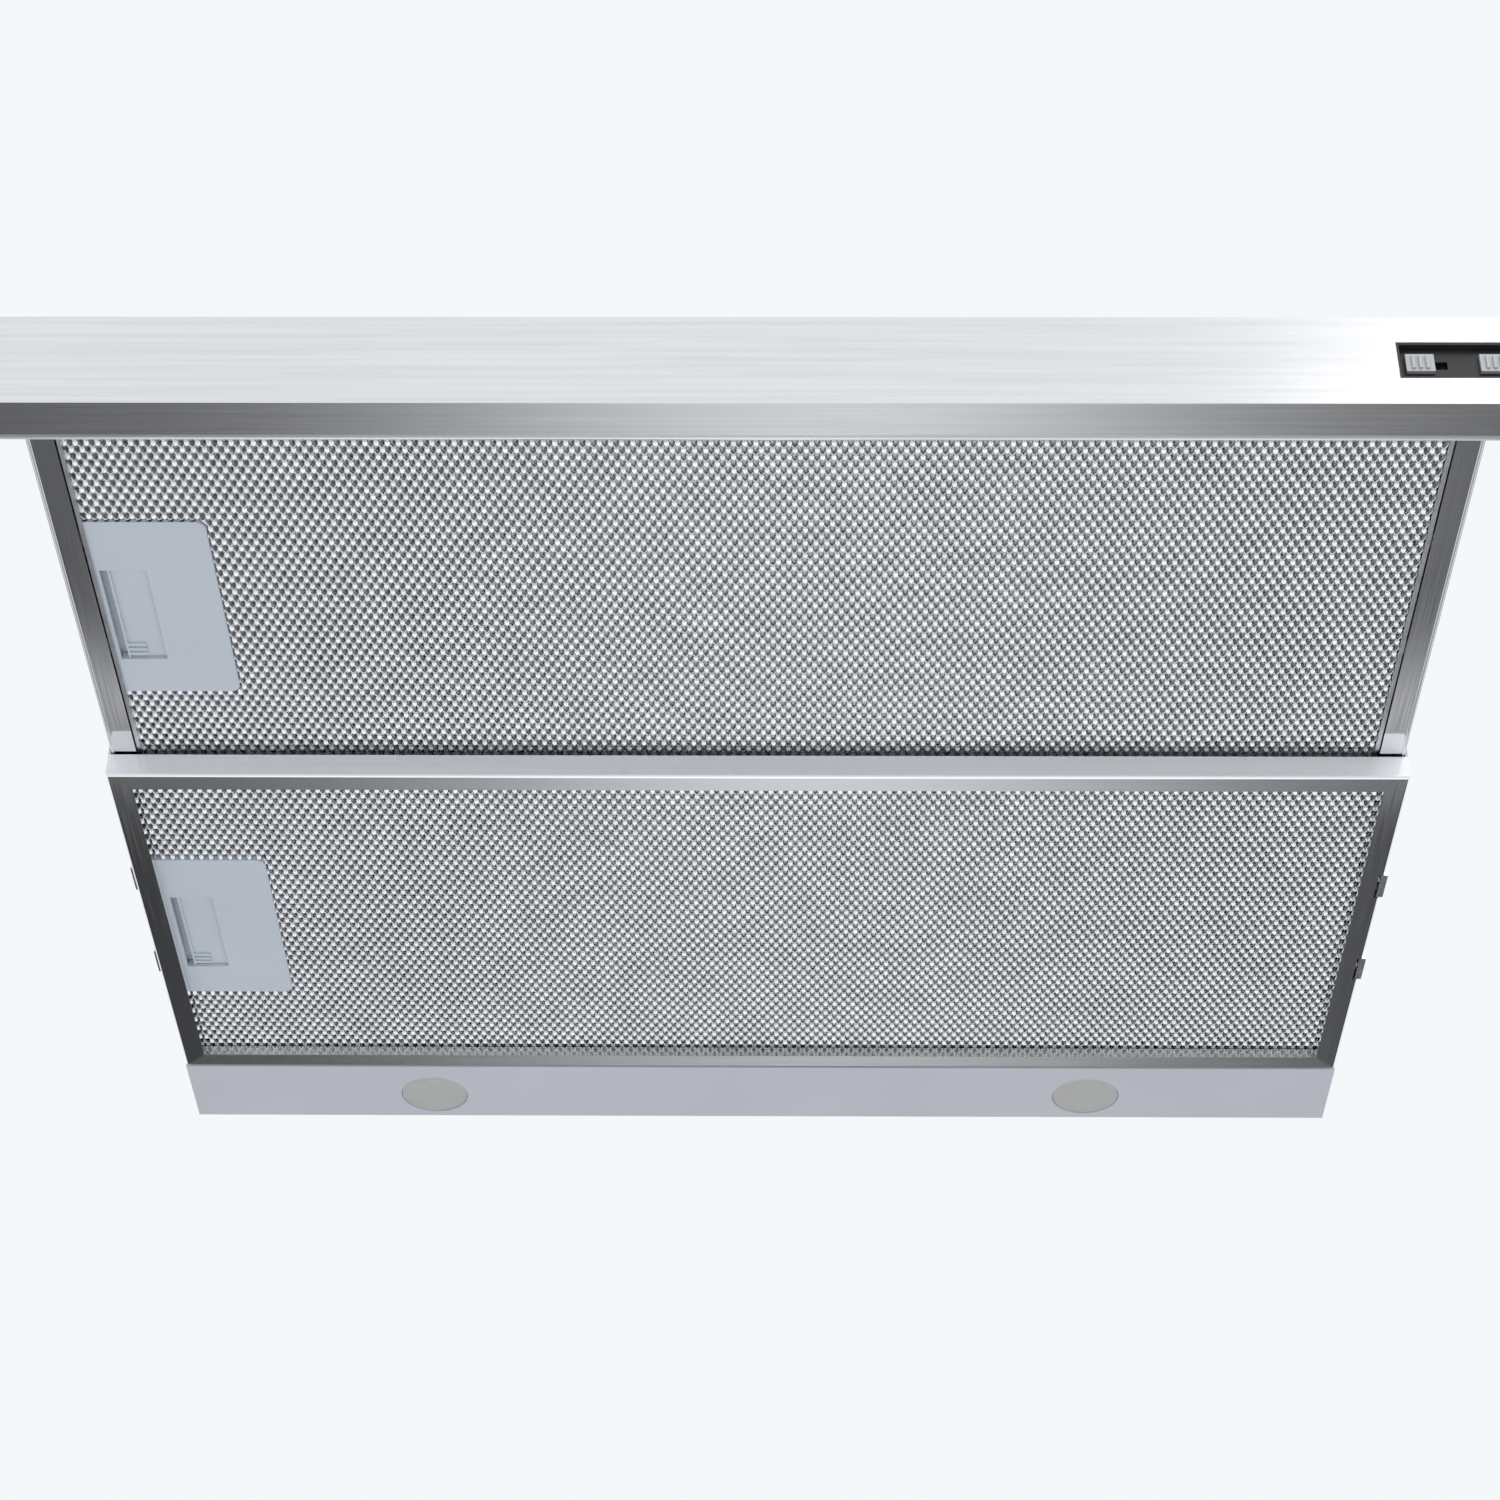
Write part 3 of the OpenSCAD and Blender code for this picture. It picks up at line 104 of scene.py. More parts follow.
camera_data = bpy.data.cameras.new("camera")
camera_data.sensor_width = SENSOR_WIDTH_MM
camera_data.lens = LENS_LENGTH_MM
camera_data.clip_end = FARTHEST_SEEN
camera = put_in_scene("camera", camera_data)
camera.matrix_world = (
    Matrix.Translation(CAMERA_PLACE)
    @ Matrix.Rotation(TURN_LEFT, 4, "Z")
    @ Matrix.Rotation(math.pi / 2 + LOOK_UP, 4, "X")
    @ Matrix.Rotation(ROLL, 4, "Z")
)
bpy.context.scene.camera = camera
print("camera stands", round(CAMERA_PLACE.length, 3), "m from the hood's origin")

# %% [markdown]
# ## Materials
# Each finish is a material with one shader. A helper makes it and sets what is the same all over straight on
# the shader: the colour, how much of a metal it is, and how rough it is.

# %% One shader for each finish
def new_finish(name, colour, metal=0.0, rough=0.5, **sockets):
    material = bpy.data.materials.new(name)
    material.use_nodes = True
    shader = material.node_tree.nodes["Principled BSDF"]
    shader.inputs["Base Color"].default_value = (*colour, 1)
    shader.inputs["Metallic"].default_value = metal
    shader.inputs["Roughness"].default_value = rough
    for socket, value in sockets.items():
        shader.inputs[socket.replace("_", " ")].default_value = value
    return material


def shade(colour, by):
    return tuple(min(1.0, c * by) for c in colour)


print("a fifth darker than white is", shade((1, 1, 1), 0.8))

# %% [markdown]
# No real surface is one flat colour. Its tone drifts, its gloss has patches, and it has a grain. Noise can
# drive all three. It is read in the piece's own space, in metres, so it keeps its scale on any piece, and
# squeezing that space along one axis draws the noise out into lines. Noise seldom leaves the middle of its
# range, so only that middle is spread over the two values.

# %% What varies over a surface
NOISE_LOW = 0.3
NOISE_HIGH = 0.7


def add_noise(material, scale, detail=2.0, squeeze=(1, 1, 1)):
    """Noise in the piece's own space, in metres; a small number in squeeze draws it out along that axis."""
    tree = material.node_tree
    place = tree.nodes.new("ShaderNodeTexCoord")
    mapping = tree.nodes.new("ShaderNodeMapping")
    mapping.inputs["Scale"].default_value = squeeze
    noise = tree.nodes.new("ShaderNodeTexNoise")
    noise.inputs["Scale"].default_value = scale
    noise.inputs["Detail"].default_value = detail
    tree.links.new(place.outputs["Object"], mapping.inputs["Vector"])
    tree.links.new(mapping.outputs["Vector"], noise.inputs["Vector"])
    return noise.outputs["Fac"]


def vary(material, factor, socket, low, high):
    """Lets a number of the shader drift between two values."""
    tree = material.node_tree
    spread = tree.nodes.new("ShaderNodeMapRange")
    spread.inputs["From Min"].default_value = NOISE_LOW
    spread.inputs["From Max"].default_value = NOISE_HIGH
    spread.inputs["To Min"].default_value = low
    spread.inputs["To Max"].default_value = high
    tree.links.new(factor, spread.inputs["Value"])
    tree.links.new(spread.outputs["Result"], tree.nodes["Principled BSDF"].inputs[socket])


def tint(material, factor, dark, light):
    """Lets the base colour drift between two colours."""
    tree = material.node_tree
    ramp = tree.nodes.new("ShaderNodeValToRGB")
    ramp.color_ramp.elements[0].position = NOISE_LOW
    ramp.color_ramp.elements[1].position = NOISE_HIGH
    ramp.color_ramp.elements[0].color = (*dark, 1)
    ramp.color_ramp.elements[1].color = (*light, 1)
    tree.links.new(factor, ramp.inputs["Fac"])
    tree.links.new(ramp.outputs["Color"], tree.nodes["Principled BSDF"].inputs["Base Color"])


def roughen(material, factor, height, strength):
    """Raises the surface by the noise, as a fine grain does."""
    tree = material.node_tree
    bump = tree.nodes.new("ShaderNodeBump")
    bump.inputs["Strength"].default_value = strength
    bump.inputs["Distance"].default_value = height
    tree.links.new(factor, bump.inputs["Height"])
    tree.links.new(bump.outputs["Normal"], tree.nodes["Principled BSDF"].inputs["Normal"])


print("noise between", NOISE_LOW, "and", NOISE_HIGH, "is spread over each pair of values")

# %% [markdown]
# ## Brushed steel and drawn aluminium
# The bar is stainless steel brushed along its length, so it blurs what it mirrors across its lines and stays
# sharp along them. The frames and rails are aluminium that was pressed through a die, with the same fine
# lines along each length. Real lines are far finer than a pixel, so bump alone would only make noise. The
# shader's anisotropy does the blur instead: its tangent points across the lines. A slow drift of tone and of
# gloss along the lines keeps the metal from looking like a mirror of one colour.

# %% Brushed and drawn metals
LINE_WIDTH = 0.5 * MM
LINE_DRAW = 0.01
CLOUD_SCALE = 500
CLOUD_DRAW = 0.02
GLOSSIER_BY = 0.03
DULLER_BY = 0.04


def drawn_out(along, by):
    return [by if axis == along else 1 for axis in "XYZ"]


def drawn_metal(name, colour, rough, along, streak=1.0, drift=0.03):
    metal = new_finish(name, colour, metal=1.0, rough=rough, Anisotropic=streak)
    tree = metal.node_tree
    across = tree.nodes.new("ShaderNodeCombineXYZ")
    for axis, number in zip("XYZ", across.inputs):
        number.default_value = 0 if axis == along else 1
    tree.links.new(across.outputs["Vector"], tree.nodes["Principled BSDF"].inputs["Tangent"])
    lines = add_noise(metal, 1 / LINE_WIDTH, detail=3.0, squeeze=drawn_out(along, LINE_DRAW))
    vary(metal, lines, "Roughness", rough - GLOSSIER_BY, rough + DULLER_BY)
    clouds = add_noise(metal, CLOUD_SCALE, detail=3.0, squeeze=drawn_out(along, CLOUD_DRAW))
    tint(metal, clouds, shade(colour, 1 - drift), shade(colour, 1 + drift))
    return metal


brushed_bar = drawn_metal("brushed_bar", (0.80, 0.80, 0.81), rough=0.22, along="X", streak=0.8, drift=0.05)
bar_lip_grey = drawn_metal("bar_lip_grey", (0.95, 0.965, 0.99), rough=0.34, along="X", streak=0.3)
profile_across = drawn_metal("profile_across", (0.84, 0.84, 0.86), rough=0.135, along="X")
profile_back = drawn_metal("profile_back", (0.88, 0.88, 0.90), rough=0.085, along="Y", streak=0.5)
print("drawn metals:", [m.name for m in (brushed_bar, bar_lip_grey, profile_across, profile_back)])

# %% [markdown]
# The middle cross member is bright below, but its front face has a matt anodised skin, which scatters light
# as paint does. One finish can hold both, because the surface's own direction tells which face it is on: the
# Y of that direction is -1 on the front face and close to 0 on the others, so it is cut near -1.

# %% The middle member's matt face
FACE_METAL = 0.1
SKIN_TO = -0.98
BARE_FROM = -0.9


def matt_front(material):
    """Makes the faces that look to the front, along -Y, scatter light instead of mirroring it."""
    tree = material.node_tree
    surface = tree.nodes.new("ShaderNodeNewGeometry")
    split = tree.nodes.new("ShaderNodeSeparateXYZ")
    tree.links.new(surface.outputs["Normal"], split.inputs["Vector"])
    skin = tree.nodes.new("ShaderNodeMapRange")
    ends = {"From Min": SKIN_TO, "From Max": BARE_FROM, "To Min": FACE_METAL, "To Max": 1}
    for socket, number in ends.items():
        skin.inputs[socket].default_value = number
    tree.links.new(split.outputs["Y"], skin.inputs["Value"])
    tree.links.new(skin.outputs["Result"], tree.nodes["Principled BSDF"].inputs["Metallic"])


middle_member = drawn_metal("middle_member", (0.91, 0.92, 0.95), rough=0.135, along="X")
matt_front(middle_member)
print("the middle member's face is", FACE_METAL, "metal")

# %% [markdown]
# ## Painted, zinc and moulded finishes
# Powder paint has a faint orange-peel skin. Zinc-coated sheet shows large flat crystals, so a Voronoi
# pattern shades it cell by cell. Moulded plastic has a fine grain and a slow drift in its gloss. Plated and
# rolled metal has no lines, only patches. Fine noise makes the grain of paint and plastic, and coarser noise
# makes the patches of tone and gloss.

# %% Paint, zinc, plastic and plated metal
def powder_paint(name, colour):
    paint = new_finish(name, colour, rough=0.42)
    roughen(paint, add_noise(paint, scale=900, detail=1.0), height=0.03 * MM, strength=0.5)
    vary(paint, add_noise(paint, scale=25), "Roughness", low=0.36, high=0.5)
    tint(paint, add_noise(paint, scale=12), dark=shade(colour, 0.97), light=shade(colour, 1.03))
    return paint


def zinc_sheet(name, colour):
    zinc = new_finish(name, colour, metal=1.0, rough=0.4)
    tree = zinc.node_tree
    place = tree.nodes.new("ShaderNodeTexCoord")
    crystals = tree.nodes.new("ShaderNodeTexVoronoi")
    crystals.inputs["Scale"].default_value = 130
    tree.links.new(place.outputs["Object"], crystals.inputs["Vector"])
    tint(zinc, crystals.outputs["Color"], dark=shade(colour, 0.85), light=shade(colour, 1.1))
    vary(zinc, crystals.outputs["Color"], "Roughness", low=0.32, high=0.5)
    return zinc


def moulded_plastic(name, colour, rough=0.45, **sockets):
    plastic = new_finish(name, colour, rough=rough, **sockets)
    roughen(plastic, add_noise(plastic, scale=2500), height=0.01 * MM, strength=0.6)
    vary(plastic, add_noise(plastic, scale=40), "Roughness", low=rough - 0.05, high=rough + 0.06)
    tint(plastic, add_noise(plastic, scale=18), dark=shade(colour, 0.975), light=shade(colour, 1.025))
    return plastic


def plated_steel(name, colour, rough):
    steel = new_finish(name, colour, metal=1.0, rough=rough)
    vary(steel, add_noise(steel, scale=300), "Roughness", low=rough - 0.06, high=rough + 0.08)
    tint(steel, add_noise(steel, scale=80), dark=shade(colour, 0.93), light=shade(colour, 1.05))
    return steel


print("four more kinds of finish can be made")

# %% [markdown]
# Now each finish of the record gets its colour and its roughness. The filter's aluminium is made as plated
# metal is, because rolled foil has such patches too.

# %% The record's finishes
FINISHES = {
    "painted_steel": powder_paint("painted_steel", (0.61, 0.62, 0.67)),
    "zinc_steel": zinc_sheet("zinc_steel", (0.60, 0.62, 0.64)),
    "ball_steel": plated_steel("ball_steel", (0.72, 0.72, 0.73), rough=0.15),
    "brushed_steel": brushed_bar,
    "bar_grey": bar_lip_grey,
    "cap_grey": moulded_plastic("cap_grey", (0.42, 0.43, 0.45)),
    "aluminium_profile": profile_across,
    "filter_mesh": plated_steel("filter_mesh", (0.91, 0.925, 0.945), rough=0.42),
    "latch_plastic": moulded_plastic("latch_plastic", (0.60, 0.65, 0.71), rough=0.5),
    "black_plastic": moulded_plastic("black_plastic", (0.02, 0.02, 0.022), rough=0.4),
    "motor_steel": powder_paint("motor_steel", (0.17, 0.18, 0.19)),
    "bright_steel": plated_steel("bright_steel", (0.75, 0.76, 0.78), rough=0.22),
    "white_plastic": moulded_plastic("white_plastic", (0.72, 0.72, 0.70), rough=0.35),
    "knob_grey": moulded_plastic("knob_grey", (0.50, 0.51, 0.53), rough=0.4),
    "lamp_cup": plated_steel("lamp_cup", (0.80, 0.81, 0.83), rough=0.25),
    "lamp_lens": moulded_plastic("lamp_lens", (0.80, 0.80, 0.78), rough=0.3, Transmission_Weight=0.4),
}
print("finishes:", len(FINISHES))

# %% [markdown]
# ## Dressing the solids
# The record says which finish each solid has. Four of the aluminium pieces run from front to back, so their
# drawn lines run along Y instead of X. The front filter's frame is folded from plain sheet, without lines,
# and the middle member has its own finish.

# %% Dress every solid
FRONT_TO_BACK = ("screen_rail_left", "screen_rail_right", "rear_frame_left", "rear_frame_right")
slot_of = {row["node"]: row["material_slot"] for row in frame["record"]["subparts"]}
folded_sheet = plated_steel("folded_sheet", (0.80, 0.81, 0.83), rough=0.36)


def dress(node, material):
    piece = frame["nodes"][node]
    for place in piece.material_slots:
        place.material = material
    if not piece.material_slots:
        piece.data.materials.append(material)


for node, slot in slot_of.items():
    dress(node, profile_back if node in FRONT_TO_BACK else FINISHES[slot])
dress("front_filter_frame", folded_sheet)
dress("rear_frame_front", middle_member)
print("dressed", len(slot_of), "solids")

# %% [markdown]
# ## Soft edges
# No folded sheet or pressed profile has a razor edge, and a thin bright line along each edge is much of what
# the eye reads as metal. A bevel modifier rounds only the edges that turn by more than 35 degrees, so
# the solids keep their size and their curved faces stay as they are. The radii are in millimetres.

# %% Round the edges of the larger solids
EDGE_RADII = {
    0.12: ("rear_frame_front", "rear_frame_back", "rear_frame_left", "rear_frame_right",
           "front_latch_slide", "rear_latch_slide", "light_switch", "speed_switch", "filter_clips",
           "casing_screws", "lens_left", "lens_right"),
    0.3: ("screen_rail_left", "screen_rail_right", "front_filter_frame"),
    0.25: ("bar_cover", "bar_core", "rear_light_panel", "casing_left", "casing_right", "casing_back",
           "casing_front", "casing_top", "screen_cover", "front_latch_plate", "rear_latch_plate",
           "control_box", "switch_panel", "runner_inner_left", "runner_inner_right"),
}
EDGE_TURN = math.radians(35)


def round_edges(node, radius):
    bevel = frame["nodes"][node].modifiers.new("soft_edges", "BEVEL")
    bevel.width = radius
    bevel.segments = 2
    bevel.limit_method = "ANGLE"
    bevel.angle_limit = EDGE_TURN
    bevel.harden_normals = True


for radius, nodes in EDGE_RADII.items():
    for node in nodes:
        round_edges(node, radius * MM)
print("rounded:", sum(len(nodes) for nodes in EDGE_RADII.values()), "solids")

# %% [markdown]
# ## The bead on the bar's lip
# The grey lip behind the brushed cover ends in a thin rolled bead, which draws one bright line all along the
# bar. It is a round strip half sunk into the lip: a ring of points at each end, joined by flat sides. The
# strip stops above the cover's underside, so the hood still lies flat.

# %% Bead along the lip
BEAD_RADIUS = 0.55 * MM
BEAD_SIDES = 16
BEAD_LIFT = 0.1 * MM
BEAD_ENDS = 2


def bead_along_x(name, x, y, z, material):
    angles = [2 * math.pi * k / BEAD_SIDES for k in range(BEAD_SIDES)]
    ring = [(y + BEAD_RADIUS * math.cos(a), z + BEAD_RADIUS * math.sin(a)) for a in angles]
    points = [(end, *point) for end in x for point in ring]
    faces = [tuple(range(BEAD_SIDES - 1, -1, -1)), tuple(range(BEAD_SIDES, 2 * BEAD_SIDES))]
    for k in range(BEAD_SIDES):
        after = (k + 1) % BEAD_SIDES
        faces.append((k, after, after + BEAD_SIDES, k + BEAD_SIDES))
    mesh = bpy.data.meshes.new(name)
    mesh.from_pydata(points, [], faces)
    for side in mesh.polygons[BEAD_ENDS:]:
        side.use_smooth = True
    mesh.materials.append(material)
    return put_in_scene(name, mesh)


lip_back = spans("screen_cover")[1][0]
bar_bottom = spans("bar_cover")[2][0]
bead = bead_along_x("bar_lip_bead", spans("bar_core")[0], lip_back - BEAD_RADIUS,
                    bar_bottom + BEAD_RADIUS + BEAD_LIFT, bar_lip_grey)
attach(bead, "screen")
print("bead ends at y", round(lip_back / MM, 1), "mm and", round(BEAD_LIFT / MM, 1), "mm above the underside")

# %% [markdown]
# ## The filter mesh
# A grease filter holds several sheets of expanded aluminium: foil that is slit and pulled until it opens
# into diamonds. Where four strands meet, the metal bulges into a small knot, and these knots are the bright
# dots of the picture. They sit 4 mm apart, with every other row shifted by half. An array of one cell would
# do for a flat sheet, but the sheets have to stop at the frame and leave out the latch plate, so the cells
# are copied with NumPy instead, and only where there is room.
#
# A knot is a low dome: a rim of six points, a shoulder of six more that is lowest at the back, and a flat
# cap. The cap looks down and a little forward, so from in front of the hob it mirrors what lies straight
# below the hood. The steep back mirrors less light and stays darker. The cap is smaller than the rim and sits
# off its middle, because no two sides of a real knot are alike. A strand is a thin bar with a ridge below.

# %% One knot and one strand
PITCH_X = 4.0 * MM
PITCH_Y = 7.35 * MM
KNOT_SIDES = 6
KNOT_RADIUS_X = 1.2 * MM
KNOT_RADIUS_Y = 1.5 * MM
KNOT_DEPTH = 0.55 * MM
KNOT_LEAN = 0.48 * MM
CAP_SIZE = 0.74
CAP_ASIDE = 0.1
CAP_BACK = 0.14
STRAND_DROP = 0.45 * MM
RIDGE_ASIDE = 0.2


def fan(corners):
    """Fills a ring of corners with triangles."""
    return [(corners[0], corners[k], corners[k + 1]) for k in range(1, len(corners) - 1)]


def knot_shape():
    angles = [2 * math.pi * k / KNOT_SIDES for k in range(KNOT_SIDES)]
    rim = [(KNOT_RADIUS_X * math.cos(a), KNOT_RADIUS_Y * math.sin(a), 0) for a in angles]
    shoulder = [(KNOT_RADIUS_X * (CAP_SIZE * math.cos(a) + CAP_ASIDE),
                 KNOT_RADIUS_Y * (CAP_SIZE * math.sin(a) + CAP_BACK),
                 -KNOT_DEPTH - KNOT_LEAN * math.sin(a)) for a in angles]
    faces = fan(list(range(KNOT_SIDES)))
    faces += fan(list(range(2 * KNOT_SIDES - 1, KNOT_SIDES - 1, -1)))
    for k in range(KNOT_SIDES):
        after = (k + 1) % KNOT_SIDES
        faces += [(k, k + KNOT_SIDES, after), (after, k + KNOT_SIDES, after + KNOT_SIDES)]
    return np.array(rim + shoulder), np.array(faces)


def strand_shape(side, width):
    """A three-sided bar from one knot to the next one up, on the left (-1) or on the right (1)."""
    end = np.array([side * PITCH_X / 2, PITCH_Y / 2, 0])
    across = np.array([end[1], -end[0], 0]) / np.linalg.norm(end) * width / 2
    ring = np.array([across, -across, (0, RIDGE_ASIDE * width, -STRAND_DROP)])
    points = np.concatenate([ring, ring + end])
    faces = []
    for k in range(3):
        after = (k + 1) % 3
        faces += [(k, after, after + 3), (k, after + 3, k + 3)]
    return points, np.array(faces)


print("a knot has", len(knot_shape()[1]), "triangles, a strand", len(strand_shape(1, PITCH_X)[1]))

# %% [markdown]
# A sheet is a grid of knots. Knots outside the filter or inside the latch's cut-out are dropped, except for
# those close to the border, whose strands still reach in. A strand stays only if both of its knots do. Every
# other row is shifted by half a cell, so the next knot up has another number in even rows than in odd ones.
# Copying a shape to many places is one sum of arrays.

# %% A sheet of knots and strands
BORDER = PITCH_X / 3
SPARE_CELLS = 3


def copies(shape, places):
    points, faces = shape
    many = (places[:, None, :] + points[None, :, :]).reshape(-1, 3)
    shift = np.arange(len(places))[:, None, None] * len(points)
    return many, (faces[None, :, :] + shift).reshape(-1, 3)


def sheet_of_mesh(x, y, z, cut_x, cut_y, knot, strands, stretch, offset):
    pitch_x, pitch_y = PITCH_X * stretch[0], PITCH_Y * stretch[1]
    columns = int((x[1] - x[0]) / pitch_x) + SPARE_CELLS
    rows = int((y[1] - y[0]) / pitch_y * 2) + SPARE_CELLS
    j, i = np.mgrid[0:rows, 0:columns]
    knot_x = x[0] + offset[0] + (i - 0.5 + (j % 2) / 2) * pitch_x
    knot_y = y[0] + offset[1] + (j - 1) * pitch_y / 2
    there = (knot_x > x[0] - BORDER) & (knot_x < x[1] + BORDER)
    there &= (knot_y > y[0] - BORDER) & (knot_y < y[1] + BORDER)
    there &= (knot_x > cut_x[1] - BORDER) | (knot_y < cut_y[0] + BORDER) | (knot_y > cut_y[1] - BORDER)
    places = np.stack([knot_x, knot_y, np.full(knot_x.shape, z)], axis=-1)
    parts = [copies(knot, places[there])] if knot else []
    for side, shape in strands.items():
        next_i = i + np.where(j % 2 == 0, (side - 1) // 2, (side + 1) // 2)
        next_j = j + 1
        joined = there & (next_i >= 0) & (next_i < columns) & (next_j < rows)
        joined[joined] = there[next_j[joined], next_i[joined]]
        parts.append(copies(shape, places[joined]))
    return parts


print("knots up to", round(BORDER / MM, 2), "mm past the border are kept for their strands")

# %% [markdown]
# At the border the real sheet is cut straight, so every point that would stick out is pushed back to the cut,
# and a point inside the latch's cut-out goes to the nearest of its three sides. Then all the parts become one
# list of points and one of triangles.

# %% Cut the sheets and join them
def cut_straight(points, x, y, cut_x, cut_y):
    """Pushes points back to the filter's border and out of the latch's cut-out."""
    points[:, 0] = np.clip(points[:, 0], *x)
    points[:, 1] = np.clip(points[:, 1], *y)
    inside = (points[:, 0] < cut_x[1]) & (points[:, 1] > cut_y[0]) & (points[:, 1] < cut_y[1])
    reach = np.stack([cut_x[1] - points[:, 0], points[:, 1] - cut_y[0], cut_y[1] - points[:, 1]])
    nearest = reach.argmin(axis=0)
    points[inside & (nearest == 0), 0] = cut_x[1]
    points[inside & (nearest == 1), 1] = cut_y[0]
    points[inside & (nearest == 2), 1] = cut_y[1]


def merge(parts):
    count = 0
    all_points = []
    all_faces = []
    for points, faces in parts:
        all_points.append(points)
        all_faces.append(faces + count)
        count += len(points)
    return np.concatenate(all_points), np.concatenate(all_faces)


print("cutting and joining are ready")

# %% [markdown]
# Blender takes the two lists straight from NumPy, which is much faster than one face at a time. Smooth
# shading makes knots and strands look round, but on a cap it would bend the one bright reflection away. So
# the outer sheet's faces that look down stay flat, and each knot shines as one small mirror.

# %% One piece from many triangles
CAP_FACING = 0.9


def mesh_object(name, points, faces, outer, inner, first_inner):
    """One piece of many triangles; from first_inner on they are the inner sheets. Knot caps stay flat."""
    mesh = bpy.data.meshes.new(name)
    mesh.vertices.add(len(points))
    mesh.vertices.foreach_set("co", np.asarray(points, np.float32).ravel())
    mesh.loops.add(len(faces) * 3)
    mesh.loops.foreach_set("vertex_index", np.asarray(faces, np.int32).ravel())
    mesh.polygons.add(len(faces))
    mesh.polygons.foreach_set("loop_start", np.arange(0, len(faces) * 3, 3, dtype=np.int32))
    mesh.update(calc_edges=True)
    mesh.validate()
    corner = points[faces]
    facing = np.cross(corner[:, 1] - corner[:, 0], corner[:, 2] - corner[:, 0])
    looks_down = -facing[:, 2] > CAP_FACING * np.linalg.norm(facing, axis=1)
    is_inner = np.arange(len(faces)) >= first_inner
    mesh.polygons.foreach_set("use_smooth", is_inner | ~looks_down)
    for finish in (outer, inner):
        mesh.materials.append(finish)
    mesh.polygons.foreach_set("material_index", is_inner.astype(np.int32))
    return put_in_scene(name, mesh)


print("a face stays flat within", round(math.degrees(math.acos(CAP_FACING))), "degrees of straight down")

# %% [markdown]
# The lowest sheet has the bright knots. The sheets above it are pulled a little differently, so their strands
# drift in and out of step with it, which gives the soft rings and slanting lines of real layered mesh. Only
# the lowest sheet shows its knots, so the other two are strands alone, and the last one is dense. Grease
# dulls the inner sheets, so they have a rougher finish of their own. Their colour is also a little lighter
# than the outer sheet's, which is painted light that lifts the shade between the strands. Depths, offsets and
# widths are in millimetres, and the depth is counted from the lowest face of the filter's solid.

# %% Both filters
LAYERS = (
    {"depth": 1.15, "stretch": (1.0, 1.0), "offset": (1.0, 0.6), "width": 1.25, "knots": True},
    {"depth": 2.3, "stretch": (1.0068, 1.0013), "offset": (1.12, 1.63), "width": 1.6, "knots": False},
    {"depth": 3.6, "stretch": (0.997, 1.003), "offset": (1.6, 3.9), "width": 3.0, "knots": False},
)
PLATE_SEAM = 0.15 * MM
# The inner sheets' colour is lighter than the outer sheet's: painted light for the shade they lie in. Their
# higher roughness is grease.
inner_mesh_painted_light = plated_steel("inner_mesh_painted_light", (0.95, 0.96, 0.98), rough=0.62)


def filter_mesh(name, node, latch_plate, body):
    x, y, z = spans(node)
    plate_x, plate_y, _ = spans(latch_plate)
    cut_x = (x[0], plate_x[1] + PLATE_SEAM)
    cut_y = (plate_y[0] - PLATE_SEAM, plate_y[1] + PLATE_SEAM)
    parts = []
    first_inner = 0
    for layer in LAYERS:
        knot = knot_shape() if layer["knots"] else None
        strands = {side: strand_shape(side, layer["width"] * MM) for side in (-1, 1)}
        offset = [v * MM for v in layer["offset"]]
        parts += sheet_of_mesh(x, y, z[0] + layer["depth"] * MM, cut_x, cut_y,
                               knot, strands, layer["stretch"], offset)
        if layer["knots"]:
            first_inner = sum(len(faces) for _, faces in parts)
    points, faces = merge(parts)
    cut_straight(points, x, y, cut_x, cut_y)
    piece = mesh_object(name, points, faces, FINISHES["filter_mesh"], inner_mesh_painted_light, first_inner)
    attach(piece, body)
    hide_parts(node)
    print(name, "has", len(faces), "triangles")


filter_mesh("front_expanded_mesh", "front_filter_mesh", "front_latch_plate", "screen")
filter_mesh("rear_expanded_mesh", "rear_filter_mesh", "rear_latch_plate", "rear_filter")

# %% [markdown]
# ## The latch springs
# A small coil spring pushes each latch out, and gets shorter as the latch is pulled in. A copy of its mesh,
# in bright steel, stands in for the solid.

# %% Springs as copies of their solids
def give_way(name, node, body):
    mesh = frame["nodes"][node].data.copy()
    mesh.materials.clear()
    mesh.materials.append(FINISHES["bright_steel"])
    piece = put_in_scene(name, mesh)
    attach(piece, body)
    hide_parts(node)
    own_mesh(piece)


give_way("front_latch_coil", "front_latch_spring", "screen")
give_way("rear_latch_coil", "rear_latch_spring", "rear_filter")

# %% [markdown]
# ## Floor
# The floor is plain and pale, and far below, so that the hood can be looked at from straight underneath. It
# lights the hood's underside softly, but the metal doesn't mirror it, because the picture's metal mirrors
# other things, which come next.

# %% Floor
FLOOR_Z = -2.4
FLOOR_SIZE = 40
FLOOR_CELLS = 8

bpy.ops.mesh.primitive_grid_add(x_subdivisions=FLOOR_CELLS, y_subdivisions=FLOOR_CELLS, size=FLOOR_SIZE,
                                location=(0, 0, FLOOR_Z))
floor = bpy.context.object
floor.name = "floor"
pale_floor = new_finish("pale_floor", (0.77, 0.77, 0.78), rough=0.7)
roughen(pale_floor, add_noise(pale_floor, scale=60), height=0.4 * MM, strength=0.3)
floor.data.materials.append(pale_floor)
floor.visible_glossy = False
print("floor at", FLOOR_Z, "m")

# %% [markdown]
# ## Light
# Flat undersides, seen at about 37 degrees, mirror what is low behind the hood. That is dark there, up to 20
# or 30 degrees to each side, apart from a soft upright glow straight behind and one narrow level line of
# light, 36 degrees down. The glow makes the bar and the two cross members bright in the middle and dark at
# both ends, and the line makes the side rails light up just before the middle member. A soft box straight
# below is what the flat caps of the knots mirror. All of it is painted on the sky, as a sum of smooth ramps
# and bells: the direction of a ray goes in as east, north and up, and the brightness comes out.

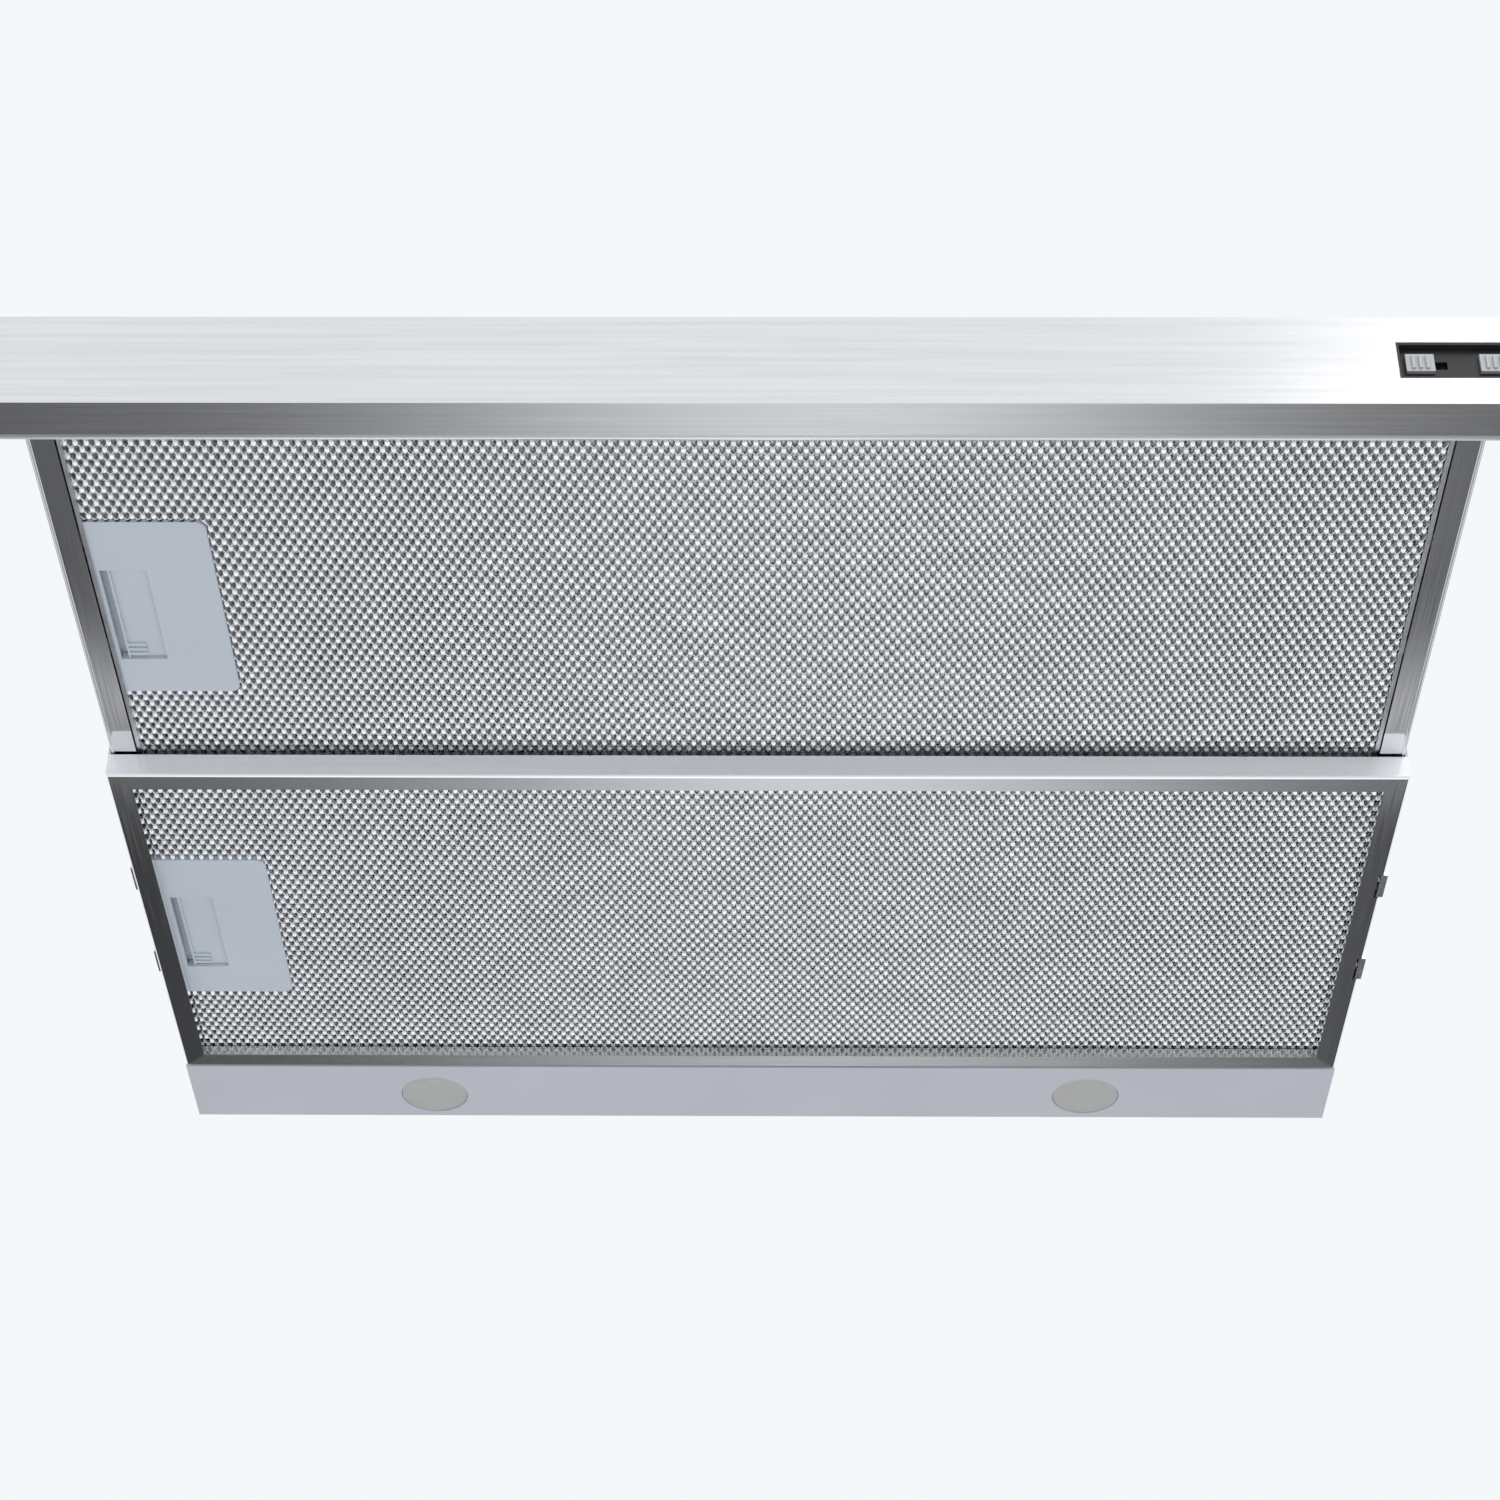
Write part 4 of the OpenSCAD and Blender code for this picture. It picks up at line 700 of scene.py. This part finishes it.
# %% Sky helpers
world = bpy.data.worlds.new("studio")
bpy.context.scene.world = world
world.use_nodes = True
sky = world.node_tree


def sky_math(operation, *values):
    node = sky.nodes.new("ShaderNodeMath")
    node.operation = operation
    for socket, value in zip(node.inputs, values):
        if isinstance(value, (int, float)):
            socket.default_value = value
        else:
            sky.links.new(value, socket)
    return node.outputs["Value"]


def slope(value, start, end, low, high):
    """Goes softly from low to high while the value goes from start to end."""
    node = sky.nodes.new("ShaderNodeMapRange")
    node.interpolation_type = "SMOOTHSTEP"
    for name, number in (("From Min", start), ("From Max", end), ("To Min", low), ("To Max", high)):
        node.inputs[name].default_value = number
    sky.links.new(value, node.inputs["Value"])
    return node.outputs["Result"]


def bell(value, centre, width):
    """Is 1 at the centre and falls off softly over the width on both sides."""
    away = sky_math("DIVIDE", sky_math("SUBTRACT", value, centre), width)
    return sky_math("EXPONENT", sky_math("MULTIPLY", sky_math("MULTIPLY", away, away), -1.0))


def towards(direction, aim):
    """Is 1 where the direction points at the aim, and less the further it points away."""
    node = sky.nodes.new("ShaderNodeVectorMath")
    node.operation = "DOT_PRODUCT"
    sky.links.new(direction, node.inputs[0])
    node.inputs[1].default_value = Vector(aim).normalized()
    return node.outputs["Value"]


print("sky helpers ready")

# %% [markdown]
# The part of the sky that is low behind the hood is the product of three slopes: behind, below, and not too
# far to either side. There the plain tone is taken away and the shadow, the glow and the line are added.

# %% Sky
LINE_DOWN = math.radians(36.3)
LINE_LIGHT = 0.48
SOFTBOX_AIM = (0.07, 0.1, -0.99)
SKY_COLOUR = (0.96, 0.98, 1.0, 1)

look = sky.nodes.new("ShaderNodeTexCoord").outputs["Generated"]
split = sky.nodes.new("ShaderNodeSeparateXYZ")
sky.links.new(look, split.inputs["Vector"])
east, north, up = split.outputs

behind = slope(north, start=0.1, end=0.5, low=0, high=1)
below = slope(up, start=-0.02, end=-0.12, low=0, high=1)
between = slope(sky_math("ABSOLUTE", east), start=0.34, end=0.5, low=1, high=0)
low_back = sky_math("MULTIPLY", sky_math("MULTIPLY", behind, below), between)

plain = slope(up, start=-0.15, end=0.1, low=0.8, high=0.95)
softbox = slope(towards(look, SOFTBOX_AIM), start=0.84, end=0.995, low=0, high=0.6)
shadow = slope(up, start=-0.59, end=-0.64, low=0.03, high=0.1)
upright = slope(up, start=-0.56, end=-0.68, low=0.36, high=0.89)
glow = sky_math("MULTIPLY", bell(east, centre=0.012, width=0.113), upright)
line = sky_math("MULTIPLY", bell(up, centre=-math.sin(LINE_DOWN), width=0.012), LINE_LIGHT)

tone = sky_math("MULTIPLY", plain, sky_math("SUBTRACT", 1.0, low_back))
for part in (shadow, glow, line):
    tone = sky_math("ADD", tone, sky_math("MULTIPLY", low_back, part))
tone = sky_math("ADD", tone, softbox)
sky.nodes["Background"].inputs["Color"].default_value = SKY_COLOUR
sky.links.new(tone, sky.nodes["Background"].inputs["Strength"])
print("the sky is made by", len(sky.nodes), "nodes")

# %% [markdown]
# Two large lamps add what the sky can't: a soft direction. One stands at the front right, as a window would,
# and lights the bar's face. The other hangs above and lights the casing's top. Both aim at the hood's
# origin. The Standard view keeps the tones as they are, where Blender's usual view would dull them.

# %% Lamps
ORIGIN = Vector((0, 0, 0))


def soft_lamp(name, place, size, power):
    data = bpy.data.lights.new(name, "AREA")
    data.shape = "RECTANGLE"
    data.size = size
    data.size_y = size
    data.energy = power
    lamp = put_in_scene(name, data)
    lamp.location = place
    lamp.rotation_euler = (ORIGIN - Vector(place)).to_track_quat("-Z", "Y").to_euler()


soft_lamp("window_front_right", place=(1.4, -2.2, 0.9), size=1.6, power=16)
soft_lamp("above", place=(0.3, 0.2, 2.4), size=2.5, power=12)
bpy.context.scene.view_settings.view_transform = "Standard"
